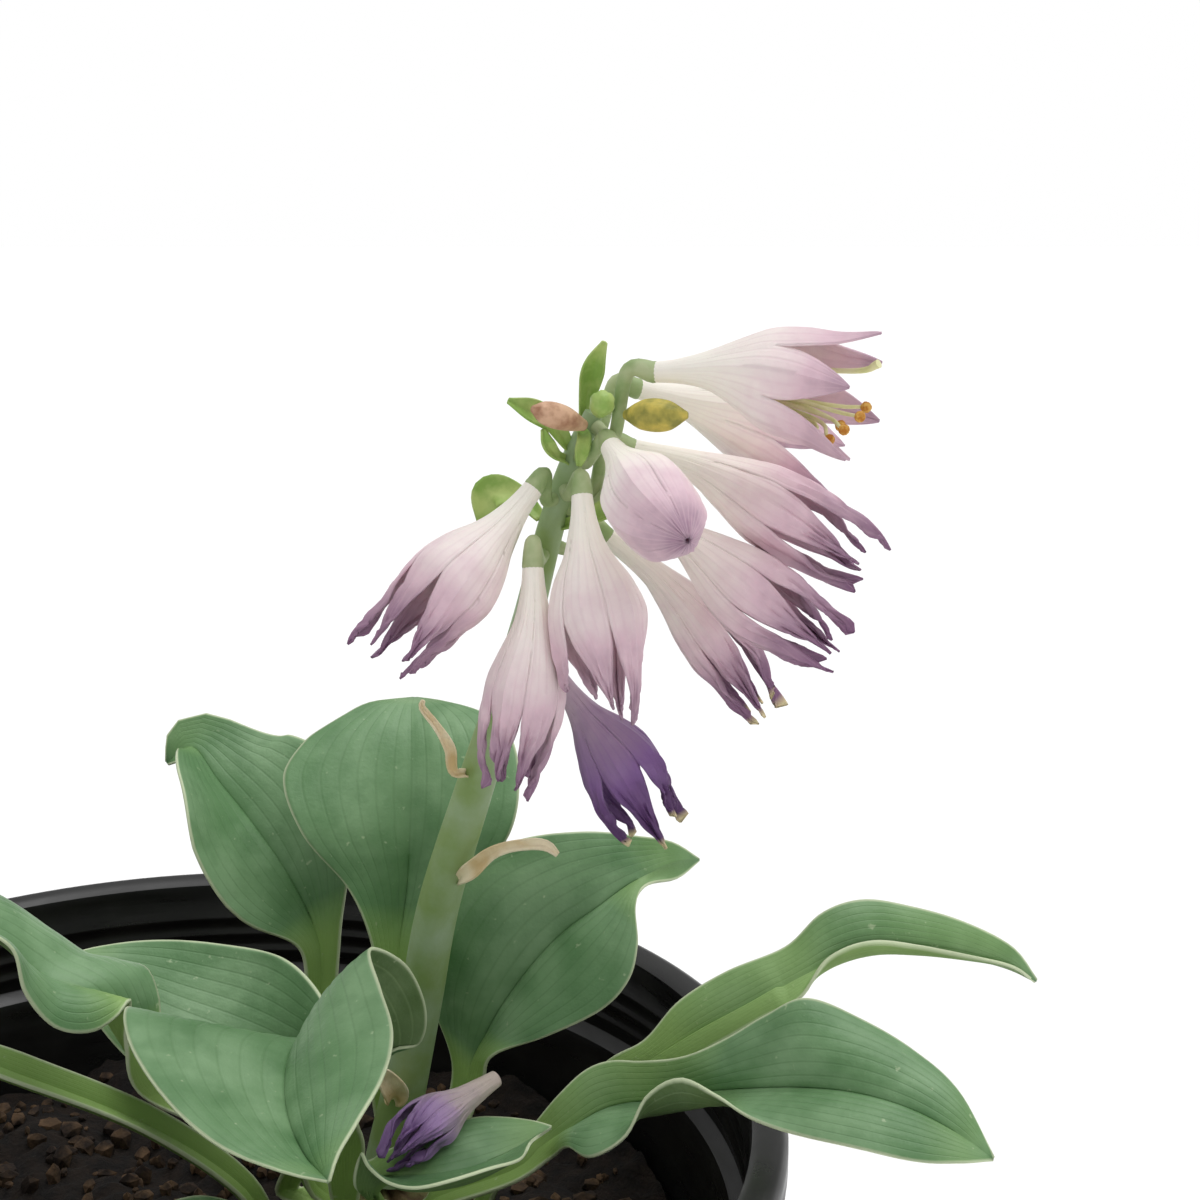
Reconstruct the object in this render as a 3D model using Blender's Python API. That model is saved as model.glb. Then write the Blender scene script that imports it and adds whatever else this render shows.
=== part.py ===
"""A potted hosta: twelve leaves and one flower stem on a crown, in potting mix, in a round nursery pot.

Run it in Blender 4.5. World units are metres, +Z is up, and the origin is the middle of the pot's
underside. The design values below are in millimetres and degrees. Each sheet-like piece, such as a leaf,
a petal tube or a bract, is a grid bent to shape and given its thickness by a Solidify modifier.
"""

import math

import bmesh
import bpy
import numpy as np
from mathutils import Vector

MM = 0.001
GAP = 0.35  # clearance between pieces that touch on the real plant

# Pot: an injection-moulded nursery pot
POT_RIM_RADIUS = 108.0
POT_BASE_RADIUS = 82.0
POT_HEIGHT = 210.0
POT_WALL = 2.0
POT_SEGMENTS = 48
LIP_DROP = 7.0
LIP_WIDTH = 4.5
COLLAR_HEIGHT = 24.0
COLLAR_STEP = 3.0
DRAIN_HOLES = 8
DRAIN_HOLE_RADIUS = 4.5
DRAIN_RING_RADIUS = 62.0

# Potting mix
SOIL_TOP = 170.0
SOIL_BUMP = 2.6
SOIL_RINGS = 6

# Crown: the stub that every stalk grows from
CROWN_CENTRE = (35.0, 18.0)
CROWN_RADIUS = 14.0
CROWN_FLAT = 24.0  # radius of the level patch of mix that the crown stands on

LEAF_COLUMNS = 6
LEAF_ROWS = 14
STALK_THICKNESS = 2.2
BLADE_THICKNESS = 0.9

# Flower stem: x, y, z and radius of its stations
STEM = (
    (35.3, 18.0, 184.9, 4.5),
    (37.0, 18.0, 193.0, 4.3),
    (39.0, 17.5, 202.0, 4.1),
    (43.0, 15.0, 222.0, 3.9),
    (47.0, 12.0, 242.0, 3.7),
    (54.0, 8.0, 265.0, 3.3),
    (60.0, 5.0, 284.0, 2.8),
    (63.5, 3.0, 296.0, 2.5),
    (67.5, 1.5, 312.0, 2.2),
    (71.0, 0.5, 323.0, 1.9),
    (74.5, 0.0, 331.0, 1.5),
)

# Each leaf: where its stalk leaves the crown (azimuth and elevation), which way its upper face looks at
# the stalk, mid-blade and tip, then its stations: x, y, z, half-widths left and right of the midrib, and
# how far each half is lifted. "curl" bends each half further, and "lobe" sweeps the basal lobes back.
LEAVES = {
    "leaf_back_left": {
        "root": (118, 30),
        "faces": ((0.4, -0.8, 0.3), (0.2, -0.85, 0.5), (0.3, -0.6, 0.75)),
        "stations": (
            (23, 36, 193, 3.4, 3.4, 30, 30),
            (20.5, 43, 208, 3.8, 3.8, 35, 35),
            (20, 46, 220, 6, 5, 35, 35),
            (14.5, 50, 231, 19, 12, 30, 20),
            (7, 55, 240, 20, 15, 35, 15),
            (-1, 60, 248, 14, 9, 40, 15),
            (-9, 66, 254, 0.6, 0.6, 20, 20),
        ),
        "curl": (10, 0),
        "lobe": (5, 0),
    },
    "leaf_back_centre": {
        "root": (92, 50),
        "faces": ((0.1, -0.95, 0.3), (0.05, -0.9, 0.4), (0, -0.5, 0.85)),
        "stations": (
            (34, 33, 200, 3.4, 3.4, 35, 35),
            (36, 36, 213, 4, 4, 35, 35),
            (37, 37.5, 223, 6, 6, 30, 30),
            (38.5, 40, 233, 12, 12, 25, 25),
            (39, 43, 242, 21, 20, 20, 20),
            (39, 48, 250, 22, 21, 12, 12),
            (38.5, 54, 255.5, 17, 17, 8, 8),
            (38, 62, 258, 6, 6, 5, 5),
            (38, 67, 257, 0.6, 0.6, 5, 5),
        ),
        "curl": (-10, -10),
    },
    "leaf_back_right": {
        "root": (12, 50),
        "faces": ((-0.4, -0.8, 0.4), (-0.25, -0.85, 0.45), (0, -0.8, 0.6)),
        "stations": (
            (49.5, 20, 195, 3.2, 3.2, 35, 35),
            (52, 20.5, 206, 4.5, 4.5, 35, 35),
            (56, 21, 215, 11, 10, 20, 30),
            (65, 22, 226, 22, 19, 10, 25),
            (76, 25, 235, 17, 16, 5, 30),
            (87, 30, 240, 8, 8, 0, 30),
            (96, 37, 239, 0.6, 0.6, 0, 0),
        ),
        "curl": (0, 0),
    },
    "leaf_right_upper": {
        "root": (-14, 28),
        "faces": ((-0.5, -0.6, 0.6), (-0.45, -0.6, 0.65), (0.3, 0.0, 0.95)),
        "stations": (
            (58, 12, 190, 3.2, 3.2, 30, 30),
            (74, 8, 205, 4, 4, 30, 30),
            (90, 7, 216, 8, 6, 15, 10),
            (101, 6, 224.5, 9.5, 8, 5, 10),
            (112, 7, 230, 12.5, 11, -5, 25),
            (124, 9, 232.5, 15, 14, -5, 45),
            (138, 13, 232, 12, 11, -5, 35),
            (148, 16, 229, 6, 6, 0, 20),
            (154, 18, 224, 0.6, 0.6, 0, 0),
        ),
        "curl": (0, 0),
    },
    "leaf_right_lower": {
        "root": (-38, 46),
        "faces": ((-0.4, -0.6, 0.7), (-0.1, -0.5, 0.87), (0.1, -0.5, 0.87)),
        "stations": (
            (61, 1, 196, 3.4, 3.4, 35, 35),
            (72, -4, 203, 5, 6, 30, 60),
            (83, -8, 209.5, 7, 11, 30, 95),
            (94, -11, 214, 11, 10, 30, 60),
            (105, -15, 217.5, 17, 10, 30, 5),
            (117, -19, 218.5, 18, 10, 25, -5),
            (128, -23, 217.5, 12, 8, 20, 0),
            (138, -28, 214, 0.6, 0.6, 0, 0),
        ),
        "curl": (-10, 0),
    },
    "leaf_front": {
        "root": (-112, 50),
        "faces": ((0.1, -0.9, 0.4), (0.05, -0.45, 0.9), (0.05, -0.3, 0.95)),
        "stations": (
            (29, 2, 204, 3.4, 3.4, 30, 30),
            (27, -4, 217, 4, 4, 30, 30),
            (26.5, -12, 226, 9, 9, 50, 25),
            (27, -22, 230.5, 21, 22, 38, 25),
            (28.5, -34, 232, 24, 25, 38, 27),
            (31.5, -46, 231, 18, 21, 36, 24),
            (34.5, -56, 229.5, 8, 10, 40, 18),
            (36.5, -64, 229, 0.6, 0.6, 10, 10),
        ),
        "curl": (10, -5),
        "lobe": (12, 6),
    },
    "leaf_left": {
        "root": (172, 30),
        "faces": ((0.3, -0.7, 0.6), (0.1, -0.75, 0.65), (0.1, -0.7, 0.7)),
        "stations": (
            (20, 17, 191, 3.2, 3.2, 30, 30),
            (22, 12, 203, 4, 4, 30, 30),
            (18, 11, 210, 6, 12, 20, 20),
            (8, 11, 214.5, 8, 19, 20, 15),
            (-4, 12, 219.5, 8, 18, 20, 15),
            (-13, 14, 225, 5, 9, 15, 15),
            (-20, 17, 229, 0.6, 0.6, 10, 10),
        ),
        "curl": (10, -10),
    },
    "leaf_far_left": {
        "root": (208, 50),
        "faces": ((0.4, -0.5, 0.75), (0.3, -0.3, 0.9), (-0.3, -0.1, 0.95)),
        "stations": (
            (19, 7, 198, 3.2, 3.2, 30, 30),
            (5, 0, 206, 3.6, 3.6, 30, 30),
            (-4, -5, 217, 4, 4, 25, 25),
            (-12, -9, 228, 7, 7, 5, 10),
            (-19, -13, 237, 14, 12, -10, 10),
            (-29, -18, 245, 18, 17, -10, 10),
            (-42, -25, 249, 19, 18, 0, 5),
            (-56, -32, 249, 12, 12, 0, 0),
            (-68, -38, 244, 0.6, 0.6, 0, 0),
        ),
        "curl": (10, -10),
        "lobe": (7, 9),
    },
    "leaf_low_left": {
        "root": (203, 13),
        "faces": ((0.3, -0.3, 0.9), (0.3, -0.3, 0.9), (-0.3, -0.2, 0.9)),
        "stations": (
            (10, 8, 188, 3.6, 3.6, 35, 35),
            (-5, 3, 203, 4.2, 4.2, 40, 40),
            (-24, -5, 217, 4.4, 4.4, 40, 40),
            (-42, -11, 228, 4.8, 4.8, 35, 35),
            (-60, -18, 235, 17, 17, 25, 25),
            (-78, -25, 237, 21, 21, 15, 15),
            (-95, -32, 232, 14, 14, 10, 10),
            (-108, -38, 224, 0.6, 0.6, 0, 0),
        ),
        "curl": (0, 0),
        "lobe": (4, 4),
    },
    "leaf_front_low": {
        "root": (-98, 8),
        "faces": ((0.1, -0.6, 0.8), (0.0, -0.2, 1.0), (0.0, 0.1, 1.0)),
        "stations": (
            (31, -6, 180, 3.4, 3.4, 30, 30),
            (29, -18, 189, 4, 4, 30, 30),
            (27, -30, 198, 7, 7, 30, 30),
            (25, -42, 206, 17, 17, 25, 25),
            (24, -55, 211, 19, 19, 20, 20),
            (23, -67, 210, 16, 16, 15, 15),
            (23, -78, 206, 9, 9, 5, 5),
            (23, -87, 200, 0.6, 0.6, 0, 0),
        ),
        "curl": (0, 0),
        "lobe": (5, 5),
    },
    "leaf_front_small": {
        "root": (-62, 30),
        "faces": ((0.6, -0.5, 0.6), (0.1, -0.42, 0.9), (0.0, -0.42, 0.9)),
        "stations": (
            (42, -4, 187, 2.8, 2.8, 30, 30),
            (41, -18, 198, 3, 3, 30, 30),
            (37.5, -32, 210, 4.5, 4.5, 30, 30),
            (41, -40, 215.5, 5.5, 7, 0, 25),
            (49, -40, 217, 6.5, 8, 0, 25),
            (57, -35, 217, 6.5, 7, 5, 15),
            (63, -29.5, 217, 5, 5, 15, 10),
            (67.5, -24.5, 219, 0.6, 0.6, 0, 0),
        ),
        "curl": (10, 10),
    },
    "leaf_front_right": {
        "root": (-75, 8),
        "faces": ((-0.1, -0.6, 0.8), (0.0, -0.3, 0.95), (0.0, 0.0, 1.0)),
        "stations": (
            (41, -6, 179, 3.2, 3.2, 30, 30),
            (46, -17, 184, 3.6, 3.6, 30, 30),
            (51, -27, 190, 8, 8, 30, 30),
            (55, -37, 195, 14, 14, 25, 25),
            (59, -47, 197, 15, 15, 15, 15),
            (63, -56, 196, 10, 10, 10, 10),
            (66, -63, 193, 0.6, 0.6, 0, 0),
        ),
        "curl": (0, 0),
        "lobe": (4, 4),
    },
}

FLOWER_ROWS = 7
TEPALS = 6
TEPAL_COLUMNS = 2
PETAL_THICKNESS = 0.5

# Radii of a flower at even steps from its base to its petal tips
OPEN_BELL = (1.4, 1.8, 2.9, 5.0, 7.3, 8.2, 8.2, 8.8)
WILTED_BELL = (1.4, 1.7, 2.6, 4.6, 6.3, 6.4, 5.0, 3.0)
SLIM_WILTED = (1.3, 1.6, 2.2, 3.6, 5.0, 5.2, 4.2, 2.8)
BALLOON_BUD = (1.5, 2.2, 3.8, 5.6, 6.4, 6.0, 4.4, 1.4)

# Each flower: the height on the stem where its pedicel starts, the points of its middle line,
# its radii, how far along the petals part, and how far each petal tip leans out and reaches forward
FLOWERS = {
    "flower_top_open": {
        "stem_height": 329.5,
        "axis": ((83.5, -4, 338), (94, -7, 338.5), (105, -11, 337), (114, -15, 335)),
        "radii": OPEN_BELL,
        "split": 0.62,
        "lean": (2.5, 1.0, 2.5, 0.5, 2.0, 1.0),
        "reach": (3, 1, 2, 1, 2, 1),
    },
    "flower_top_rear": {
        "stem_height": 328.5,
        "axis": ((81.0, 7.5, 334), (92, 10.5, 331), (103, 14, 328), (113, 16, 323.5)),
        "radii": OPEN_BELL,
        "split": 0.62,
        "lean": (0.5, -1, 0, -2, 0, 1),
        "reach": (2, 1, 1, 0, 2, 1),
    },
    "flower_right_wilted": {
        "stem_height": 318.0,
        "axis": ((80, 2.5, 325), (92, 2.5, 321.5), (105, 0, 314.5), (117, -3, 307)),
        "radii": WILTED_BELL,
        "split": 0.6,
        "lean": (1, 0, 2, -0.5, 1, 0),
        "reach": (2, 0, 3, 0, 1, 2),
    },
    "flower_striped_bud": {
        "stem_height": 324.5,
        "axis": ((77, -7, 327), (80.5, -16, 323.5), (84, -26, 320), (88, -36, 318)),
        "radii": BALLOON_BUD,
        "split": 0.92,
        "lean": (0, 0, 0, 0, 0, 0),
        "reach": (0, 0, 0, 0, 0, 0),
    },
    "flower_right_middle": {
        "stem_height": 315.7,
        "axis": ((80, 0, 317), (90, -3.5, 310.5), (101, -7, 302), (111.5, -10, 295)),
        "radii": WILTED_BELL,
        "split": 0.58,
        "lean": (1, 0, 2, 0.5, 0, -0.5),
        "reach": (3, 1, 2, 0, 2, 1),
    },
    "flower_right_low": {
        "stem_height": 309.0,
        "axis": ((76, 6.5, 310), (85.5, 7.5, 302), (95, 8, 291), (103, 8, 280)),
        "radii": SLIM_WILTED,
        "split": 0.6,
        "lean": (0, 1, -0.5, 0, 1.5, 0),
        "reach": (2, 1, 0, 3, 1, 0),
    },
    "flower_centre_pink": {
        "stem_height": 319.0,
        "axis": ((72.6, -8, 320), (73.5, -12.5, 311), (75.5, -16.5, 300), (78, -20, 288)),
        "radii": (1.4, 1.9, 3.2, 5.6, 7.0, 6.6, 5.2, 3.6),
        "split": 0.58,
        "lean": (3.5, 0, 0, -1, 0, 1.5),
        "reach": (-4, 0, 3, 1, 2, -2),
    },
    "flower_stem_front": {
        "stem_height": 308.0,
        "axis": ((65, -10.5, 309), (65, -14, 299), (63.5, -17, 287), (61.5, -19, 276)),
        "radii": (1.4, 1.8, 2.8, 4.4, 5.6, 5.8, 5.0, 3.6),
        "split": 0.6,
        "lean": (0, 1, 0, 0, 1, 0),
        "reach": (2, 0, 1, 3, 0, 1),
    },
    "flower_left": {
        "stem_height": 317.0,
        "axis": ((65.5, -5.5, 320.5), (59.5, -9, 313.5), (51, -13, 304.5), (43, -17.5, 296)),
        "radii": (1.4, 1.9, 3.2, 5.4, 6.8, 6.4, 5.2, 4.0),
        "split": 0.58,
        "lean": (1.5, 0, 2, 0, 1, 0),
        "reach": (3, 1, 0, 2, 0, 2),
    },
    "flower_purple": {
        "stem_height": 292.0,
        "axis": ((68, 2, 287.5), (73, 2, 280), (79, 2, 271), (84.5, 1, 261)),
        "radii": (1.3, 1.6, 2.6, 4.6, 6.2, 6.4, 5.4, 4.2),
        "split": 0.56,
        "lean": (1, 2, 0, 1, 0, 1.5),
        "reach": (1, 3, 0, 2, 0, 1),
    },
}

FALLEN_FLOWER = {
    "axis": ((59.5, -22, 230), (53.5, -28.5, 227.5), (48, -36, 225.8), (44.5, -43.5, 225.3)),
    "radii": (1.2, 1.5, 1.9, 2.7, 3.7, 4.0, 3.2, 2.0),
    "split": 0.6,
    "lean": (0, 1, 0, 1, 0, 0),
    "reach": (2, 0, 1, 0, 2, 1),
}

BRACT_THICKNESS = 0.6
BRACT_BASE_WIDTH = 0.8
BRACT_ROWS = 5
BRACT_COLUMNS = 2
BRACT_FACES = ((0.1, -0.8, 0.5), (0.1, -0.8, 0.5))

# Bracts: stem height, outward direction at the stem, cupping angle, then stations past the stem:
# x, y, z and half-width
BRACTS = {
    "bract_apex_green": {
        "stem_height": 328.5,
        "toward": (-0.4, 0.9, 0.0),
        "cup": 40,
        "stations": ((73.6, 2.4, 334, 1.8), (74.8, 0.6, 338.5, 2.3), (76.3, -1.4, 342.5, 0.5)),
    },
    "bract_apex_left": {
        "stem_height": 325.0,
        "toward": (-0.9, -0.3, 0.2),
        "cup": 35,
        "stations": ((68, -1, 329, 2.0), (64.5, -3, 331.5, 2.4), (61, -4, 333.5, 0.5)),
    },
    "bract_apex_front": {
        "stem_height": 328.0,
        "toward": (-0.4, -0.9, 0.1),
        "cup": 30,
        "stations": ((73, -4.2, 327.5, 1.2), (72.6, -5.6, 325.5, 1.2), (72.2, -6.4, 323.5, 0.4)),
    },
    "bract_heart": {
        "stem_height": 313.0,
        "toward": (-0.95, 0.1, 0.3),
        "cup": 20,
        "stations": ((62, 5, 316.5, 2.0), (57.5, 6, 316.5, 3.2), (56, 5, 311.5, 0.6)),
    },
    "bract_right_green": {
        "stem_height": 313.0,
        "toward": (0.9, -0.3, 0.1),
        "cup": 35,
        "stations": ((75, -3, 315, 1.8), (78.5, -5, 318, 2.0), (78.5, -6, 322, 0.5)),
    },
    "bract_left_narrow": {
        "stem_height": 323.0,
        "toward": (-0.7, -0.7, 0.1),
        "cup": 30,
        "stations": ((68.4, -4.2, 325, 1.1), (67.2, -5.8, 327, 1.2), (66.6, -7, 329.5, 0.4)),
    },
    "bract_dried_upper": {
        "stem_height": 268.0,
        "toward": (-0.7, -0.6, 0.2),
        "cup": 45,
        "stations": ((50.5, 2.2, 270, 1.6), (50, 0, 276, 1.8), (46.5, -2, 281.5, 0.5)),
    },
    "bract_dried_middle": {
        "stem_height": 249.0,
        "toward": (0.6, -0.7, 0.2),
        "cup": 40,
        "stations": ((54.5, 5, 252, 2.0), (61, 3, 256.5, 1.8), (68.5, 1, 257.5, 0.5)),
    },
    "bract_dried_base": {
        "stem_height": 203.0,
        "toward": (-0.3, -0.9, 0.2),
        "cup": 35,
        "stations": ((38.5, 10.5, 206, 2.6), (37, 8.5, 210, 2.2), (35, 7.5, 213, 0.6)),
    },
}

# Buds: x, y, z and radius of each one's stations
BUDS = {
    "bud_apex_round": (
        (75.4, -2.5, 331.2, 0.8),
        (75.7, -4.8, 332.8, 1.9),
        (76.0, -6.6, 333.8, 1.8),
        (76.2, -7.8, 334.2, 0.5),
    ),
    "bud_apex_yellow": (
        (79.6, -4.8, 331.4, 0.8),
        (82.5, -7.6, 331.8, 2.4),
        (86, -9.6, 332, 2.3),
        (89, -10.6, 332.2, 0.5),
    ),
    "bud_apex_peach": (
        (73, -3.5, 329.5, 0.9),
        (70, -6, 331, 1.9),
        (67, -8, 332.2, 1.8),
        (65, -9, 333, 0.5),
    ),
}

# The tip of each stamen and of the style, in the open flower
STAMEN_TIPS = (
    (112.5, -16.0, 331.0),
    (108.5, -16.5, 328.5),
    (116.0, -18.5, 334.5),
    (110.0, -20.5, 329.5),
    (112.0, -22.5, 331.5),
    (114.5, -22.0, 333.5),
)
STYLE_TIP = (117.0, -18.0, 341.0)
FILAMENT_RADIUS = 0.35
ANTHER_RADIUS = 0.75
ANTHER_LENGTH = 1.6
FLOWER_FACES = ((0.1, -0.7, 0.7), (0.1, -0.7, 0.7))

COLOURS = {
    "pot_black": (0.012, 0.012, 0.014, 0.38),
    "mix_brown": (0.035, 0.02, 0.012, 0.95),
    "crown_tan": (0.12, 0.13, 0.05, 0.8),
    "leaf_blue_green": (0.10, 0.22, 0.13, 0.5),
    "stem_green": (0.13, 0.2, 0.08, 0.5),
    "bract_green": (0.22, 0.38, 0.08, 0.5),
    "bract_straw": (0.55, 0.38, 0.2, 0.8),
    "petal_lilac": (0.68, 0.5, 0.62, 0.55),
    "petal_purple": (0.2, 0.09, 0.3, 0.6),
    "anther_brown": (0.45, 0.2, 0.04, 0.8),
}


def material(name):
    """The named finish, made the first time that it is asked for."""
    found = bpy.data.materials.get(name)
    if found:
        return found
    made = bpy.data.materials.new(name)
    made.use_nodes = True
    shader = made.node_tree.nodes["Principled BSDF"]
    red, green, blue, roughness = COLOURS[name]
    shader.inputs["Base Color"].default_value = (red, green, blue, 1)
    shader.inputs["Roughness"].default_value = roughness
    shader.inputs["Metallic"].default_value = 0
    return made


def add_object(name, bm, finish):
    """Puts a bmesh into the scene as one named, smooth-shaded object. Its points are in millimetres."""
    bmesh.ops.scale(bm, vec=(MM, MM, MM), verts=bm.verts)
    mesh = bpy.data.meshes.new(name)
    bm.to_mesh(mesh)
    bm.free()
    mesh.materials.append(material(finish))
    mesh.shade_smooth()
    mesh.set_sharp_from_angle(angle=math.radians(50))
    added = bpy.data.objects.new(name, mesh)
    bpy.context.scene.collection.objects.link(added)
    return added


def thicken(sheet, thickness, thin_share=None):
    """Turns a sheet into a closed solid. thin_share is the least thickness of its weighted points."""
    solidify = sheet.modifiers.new("thickness", "SOLIDIFY")
    solidify.thickness = thickness * MM
    solidify.offset = 0
    solidify.use_rim = True
    if thin_share is not None:
        solidify.vertex_group = "thick"
        solidify.thickness_vertex_group = thin_share


def unit(vector):
    return np.asarray(vector, float) / np.linalg.norm(vector)


def smooth_curve(stations, steps=16):
    """Many points on a smooth curve through the stations, whose other columns are carried along."""
    stations = np.array(stations, float)
    ends = (2 * stations[0] - stations[1], 2 * stations[-1] - stations[-2])
    padded = np.vstack([ends[0], stations, ends[1]])
    points = []
    for first in range(len(stations) - 1):
        a, b, c, d = padded[first : first + 4]
        for u in np.arange(steps) / steps:
            cubic = 2 * b + (c - a) * u + (2 * a - 5 * b + 4 * c - d) * u**2
            points.append((cubic + (3 * b - a - 3 * c + d) * u**3) / 2)
    points.append(stations[-1])
    return np.array(points)


def spread_rows(curve, count, density=None):
    """count rows of a curve, evenly spaced, or closer together where density is high."""
    steps = np.linalg.norm(np.diff(curve[:, :3], axis=0), axis=1)
    if density is not None:
        steps = steps * (density[1:] + density[:-1]) / 2
    run = np.concatenate([[0], np.cumsum(steps)])
    wanted = np.linspace(0, run[-1], count)
    return np.stack([np.interp(wanted, run, column) for column in curve.T], axis=1)


def frames_along(rows, faces, first_tangent=None):
    """Tangent, face and right-hand directions at each row. faces are spread evenly along it."""
    tangents = np.gradient(rows[:, :3], axis=0)
    if first_tangent is not None:
        tangents[0] = first_tangent
    places = np.linspace(0, 1, len(rows))
    knots = np.linspace(0, 1, len(faces))
    wanted = np.stack([np.interp(places, knots, column) for column in np.array(faces, float).T], axis=1)
    frames = []
    for tangent, face in zip(tangents, wanted):
        tangent = unit(tangent)
        right = unit(np.cross(tangent, face))
        frames.append((tangent, np.cross(right, tangent), right))
    return frames


def arc_across(width, lift, curl, share):
    """How far out and up a half-blade has come at a share of its width, starting at the angle lift."""
    if abs(curl) < 1e-3:
        return width * share * math.cos(lift), width * share * math.sin(lift)
    out = width * (math.sin(lift + curl * share) - math.sin(lift)) / curl
    up = width * (math.cos(lift) - math.cos(lift + curl * share)) / curl
    return out, up


def add_grid(bm, columns, rows, place):
    """A grid in bm whose point at column and row numbers (i, j) is moved to place(i, j)."""
    made = bmesh.ops.create_grid(bm, x_segments=columns, y_segments=rows, size=1)
    for vert in made["verts"]:
        column = round((vert.co.x + 1) / 2 * columns)
        row = round((vert.co.y + 1) / 2 * rows)
        vert.co = Vector(place(column, row))
    return made["verts"]


def blade_points(rows, faces, curl, lobe, columns, first_tangent=None):
    """The points of a leaf-like sheet, by row and column, from rows of x, y, z, widths and lifts."""
    frames = frames_along(rows, faces, first_tangent)
    widest = rows[:, 3:5].max()
    widest_row = int(rows[:, 3].argmax())
    points = np.zeros((len(rows), columns + 1, 3))
    for j, (row, (tangent, face, right)) in enumerate(zip(rows, frames)):
        for i in range(columns + 1):
            across = 2 * i / columns - 1
            side = int(across > 0)
            width, lift = row[3 + side], math.radians(row[5 + side])
            out, up = arc_across(width, lift, math.radians(curl[side]), abs(across))
            before_widest = max(0, 1 - j / widest_row)
            sweep = lobe[side] * across**2 * max(0, width / widest - 0.25) * 4 * before_widest
            sign = 1 if side else -1
            points[j, i] = row[:3] + sign * out * right + up * face - sweep * tangent
    return points


def crown_point(azimuth, elevation, distance):
    """A point that far from the middle of the crown's dome."""
    azimuth, elevation = math.radians(azimuth), math.radians(elevation)
    flat = distance * math.cos(elevation)
    return (
        CROWN_CENTRE[0] + flat * math.cos(azimuth),
        CROWN_CENTRE[1] + flat * math.sin(azimuth),
        SOIL_TOP + GAP + distance * math.sin(elevation),
    )


def add_leaf(name, design):
    root = design["root"]
    stations = [
        (*crown_point(*root, CROWN_RADIUS + 1.5 * GAP), 2.0, 2.0, 20, 20),
        (*crown_point(*root, CROWN_RADIUS + 4), 2.2, 2.2, 20, 20),
        (*crown_point(*root, CROWN_RADIUS + 8), 2.5, 2.5, 25, 25),
        *design["stations"],
    ]
    curve = smooth_curve(stations)
    curve[:, 3:5] = np.maximum(curve[:, 3:5], 0.5)
    density = 0.35 + curve[:, 3] / curve[:, 3].max()
    rows = spread_rows(curve, LEAF_ROWS + 1, density)
    outward = np.subtract(stations[1][:3], stations[0][:3])
    lobe = design.get("lobe", (0, 0))
    points = blade_points(rows, design["faces"], design["curl"], lobe, LEAF_COLUMNS, outward)
    bm = bmesh.new()
    add_grid(bm, LEAF_COLUMNS, LEAF_ROWS, lambda i, j: points[j, i])
    leaf = add_object(name, bm, "leaf_blue_green")
    stalk_share = np.clip((9 - rows[:, 3]) / 5, 0, 1)
    group = leaf.vertex_groups.new(name="thick")
    for number, vert in enumerate(leaf.data.vertices):
        near = np.abs(points - np.array(vert.co) / MM).sum(axis=2)
        group.add([number], float(stalk_share[np.unravel_index(near.argmin(), near.shape)[0]]), "REPLACE")
    thicken(leaf, STALK_THICKNESS, BLADE_THICKNESS / STALK_THICKNESS)


def add_tube(name, stations, sides, finish, count=None):
    """A round solid through stations of x, y, z and radius, with flat ends."""
    rows = smooth_curve(stations, 4)
    if count:
        rows = spread_rows(rows, count)
    tangents = np.gradient(rows[:, :3], axis=0)
    face = (0.3, -1.0, 0.2) if abs(unit(tangents[0])[1]) < 0.9 else (1.0, 0.0, 0.3)
    frames = frames_along(rows, (face, face))
    bm = bmesh.new()
    rings = []
    for row, (_, up, right) in zip(rows, frames):
        turns = np.arange(sides) * 2 * math.pi / sides
        ring = [row[:3] + row[3] * (math.cos(a) * right + math.sin(a) * up) for a in turns]
        rings.append([bm.verts.new(Vector(point)) for point in ring])
    for low, high in zip(rings, rings[1:]):
        for i in range(sides):
            after = (i + 1) % sides
            bm.faces.new((low[i], low[after], high[after], high[i]))
    bm.faces.new(rings[0][::-1])
    bm.faces.new(rings[-1])
    bmesh.ops.recalc_face_normals(bm, faces=bm.faces)
    return add_object(name, bm, finish)


def stem_at(height):
    """Middle, direction and radius of the flower stem at a height."""
    curve = smooth_curve(STEM)
    place = [np.interp(height, curve[:, 2], column) for column in curve.T]
    ahead = [np.interp(height + 1, curve[:, 2], column) for column in curve.T[:3]]
    return np.array(place[:3]), unit(np.array(ahead) - place[:3]), place[3]


def leave_stem(height, toward):
    """A point just off the stem's skin on the side that faces toward, and the outward direction there."""
    middle, along, radius = stem_at(height)
    outward = np.asarray(toward, float)
    outward = unit(outward - (outward @ along) * along)
    return middle + (radius + GAP) * outward, outward


def perianth_points(design, columns, rows):
    """Points of each petal, by petal, row and column. They join up below the split."""
    axis = spread_rows(smooth_curve(design["axis"]), rows + 1)
    frames = frames_along(axis, FLOWER_FACES)
    radii = np.array(design["radii"])
    places = np.linspace(0, 1, rows + 1)
    profile = np.interp(places, np.linspace(0, 1, len(radii)), radii)
    split = design["split"]
    points = np.zeros((TEPALS, rows + 1, columns + 1, 3))
    for k in range(TEPALS):
        for j, along in enumerate(places):
            past = max(0.0, along - split) / (1 - split)
            tangent, up, right = frames[j]
            radius = profile[j] + design["lean"][k] * past**2
            half = math.pi / TEPALS * (1 - 0.82 * past**1.7)
            for i in range(columns + 1):
                turn = 2 * math.pi * k / TEPALS + half * (2 * i / columns - 1)
                spoke = math.cos(turn) * right + math.sin(turn) * up
                points[k, j, i] = axis[j, :3] + radius * spoke + design["reach"][k] * past**2 * tangent
    return points


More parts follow.
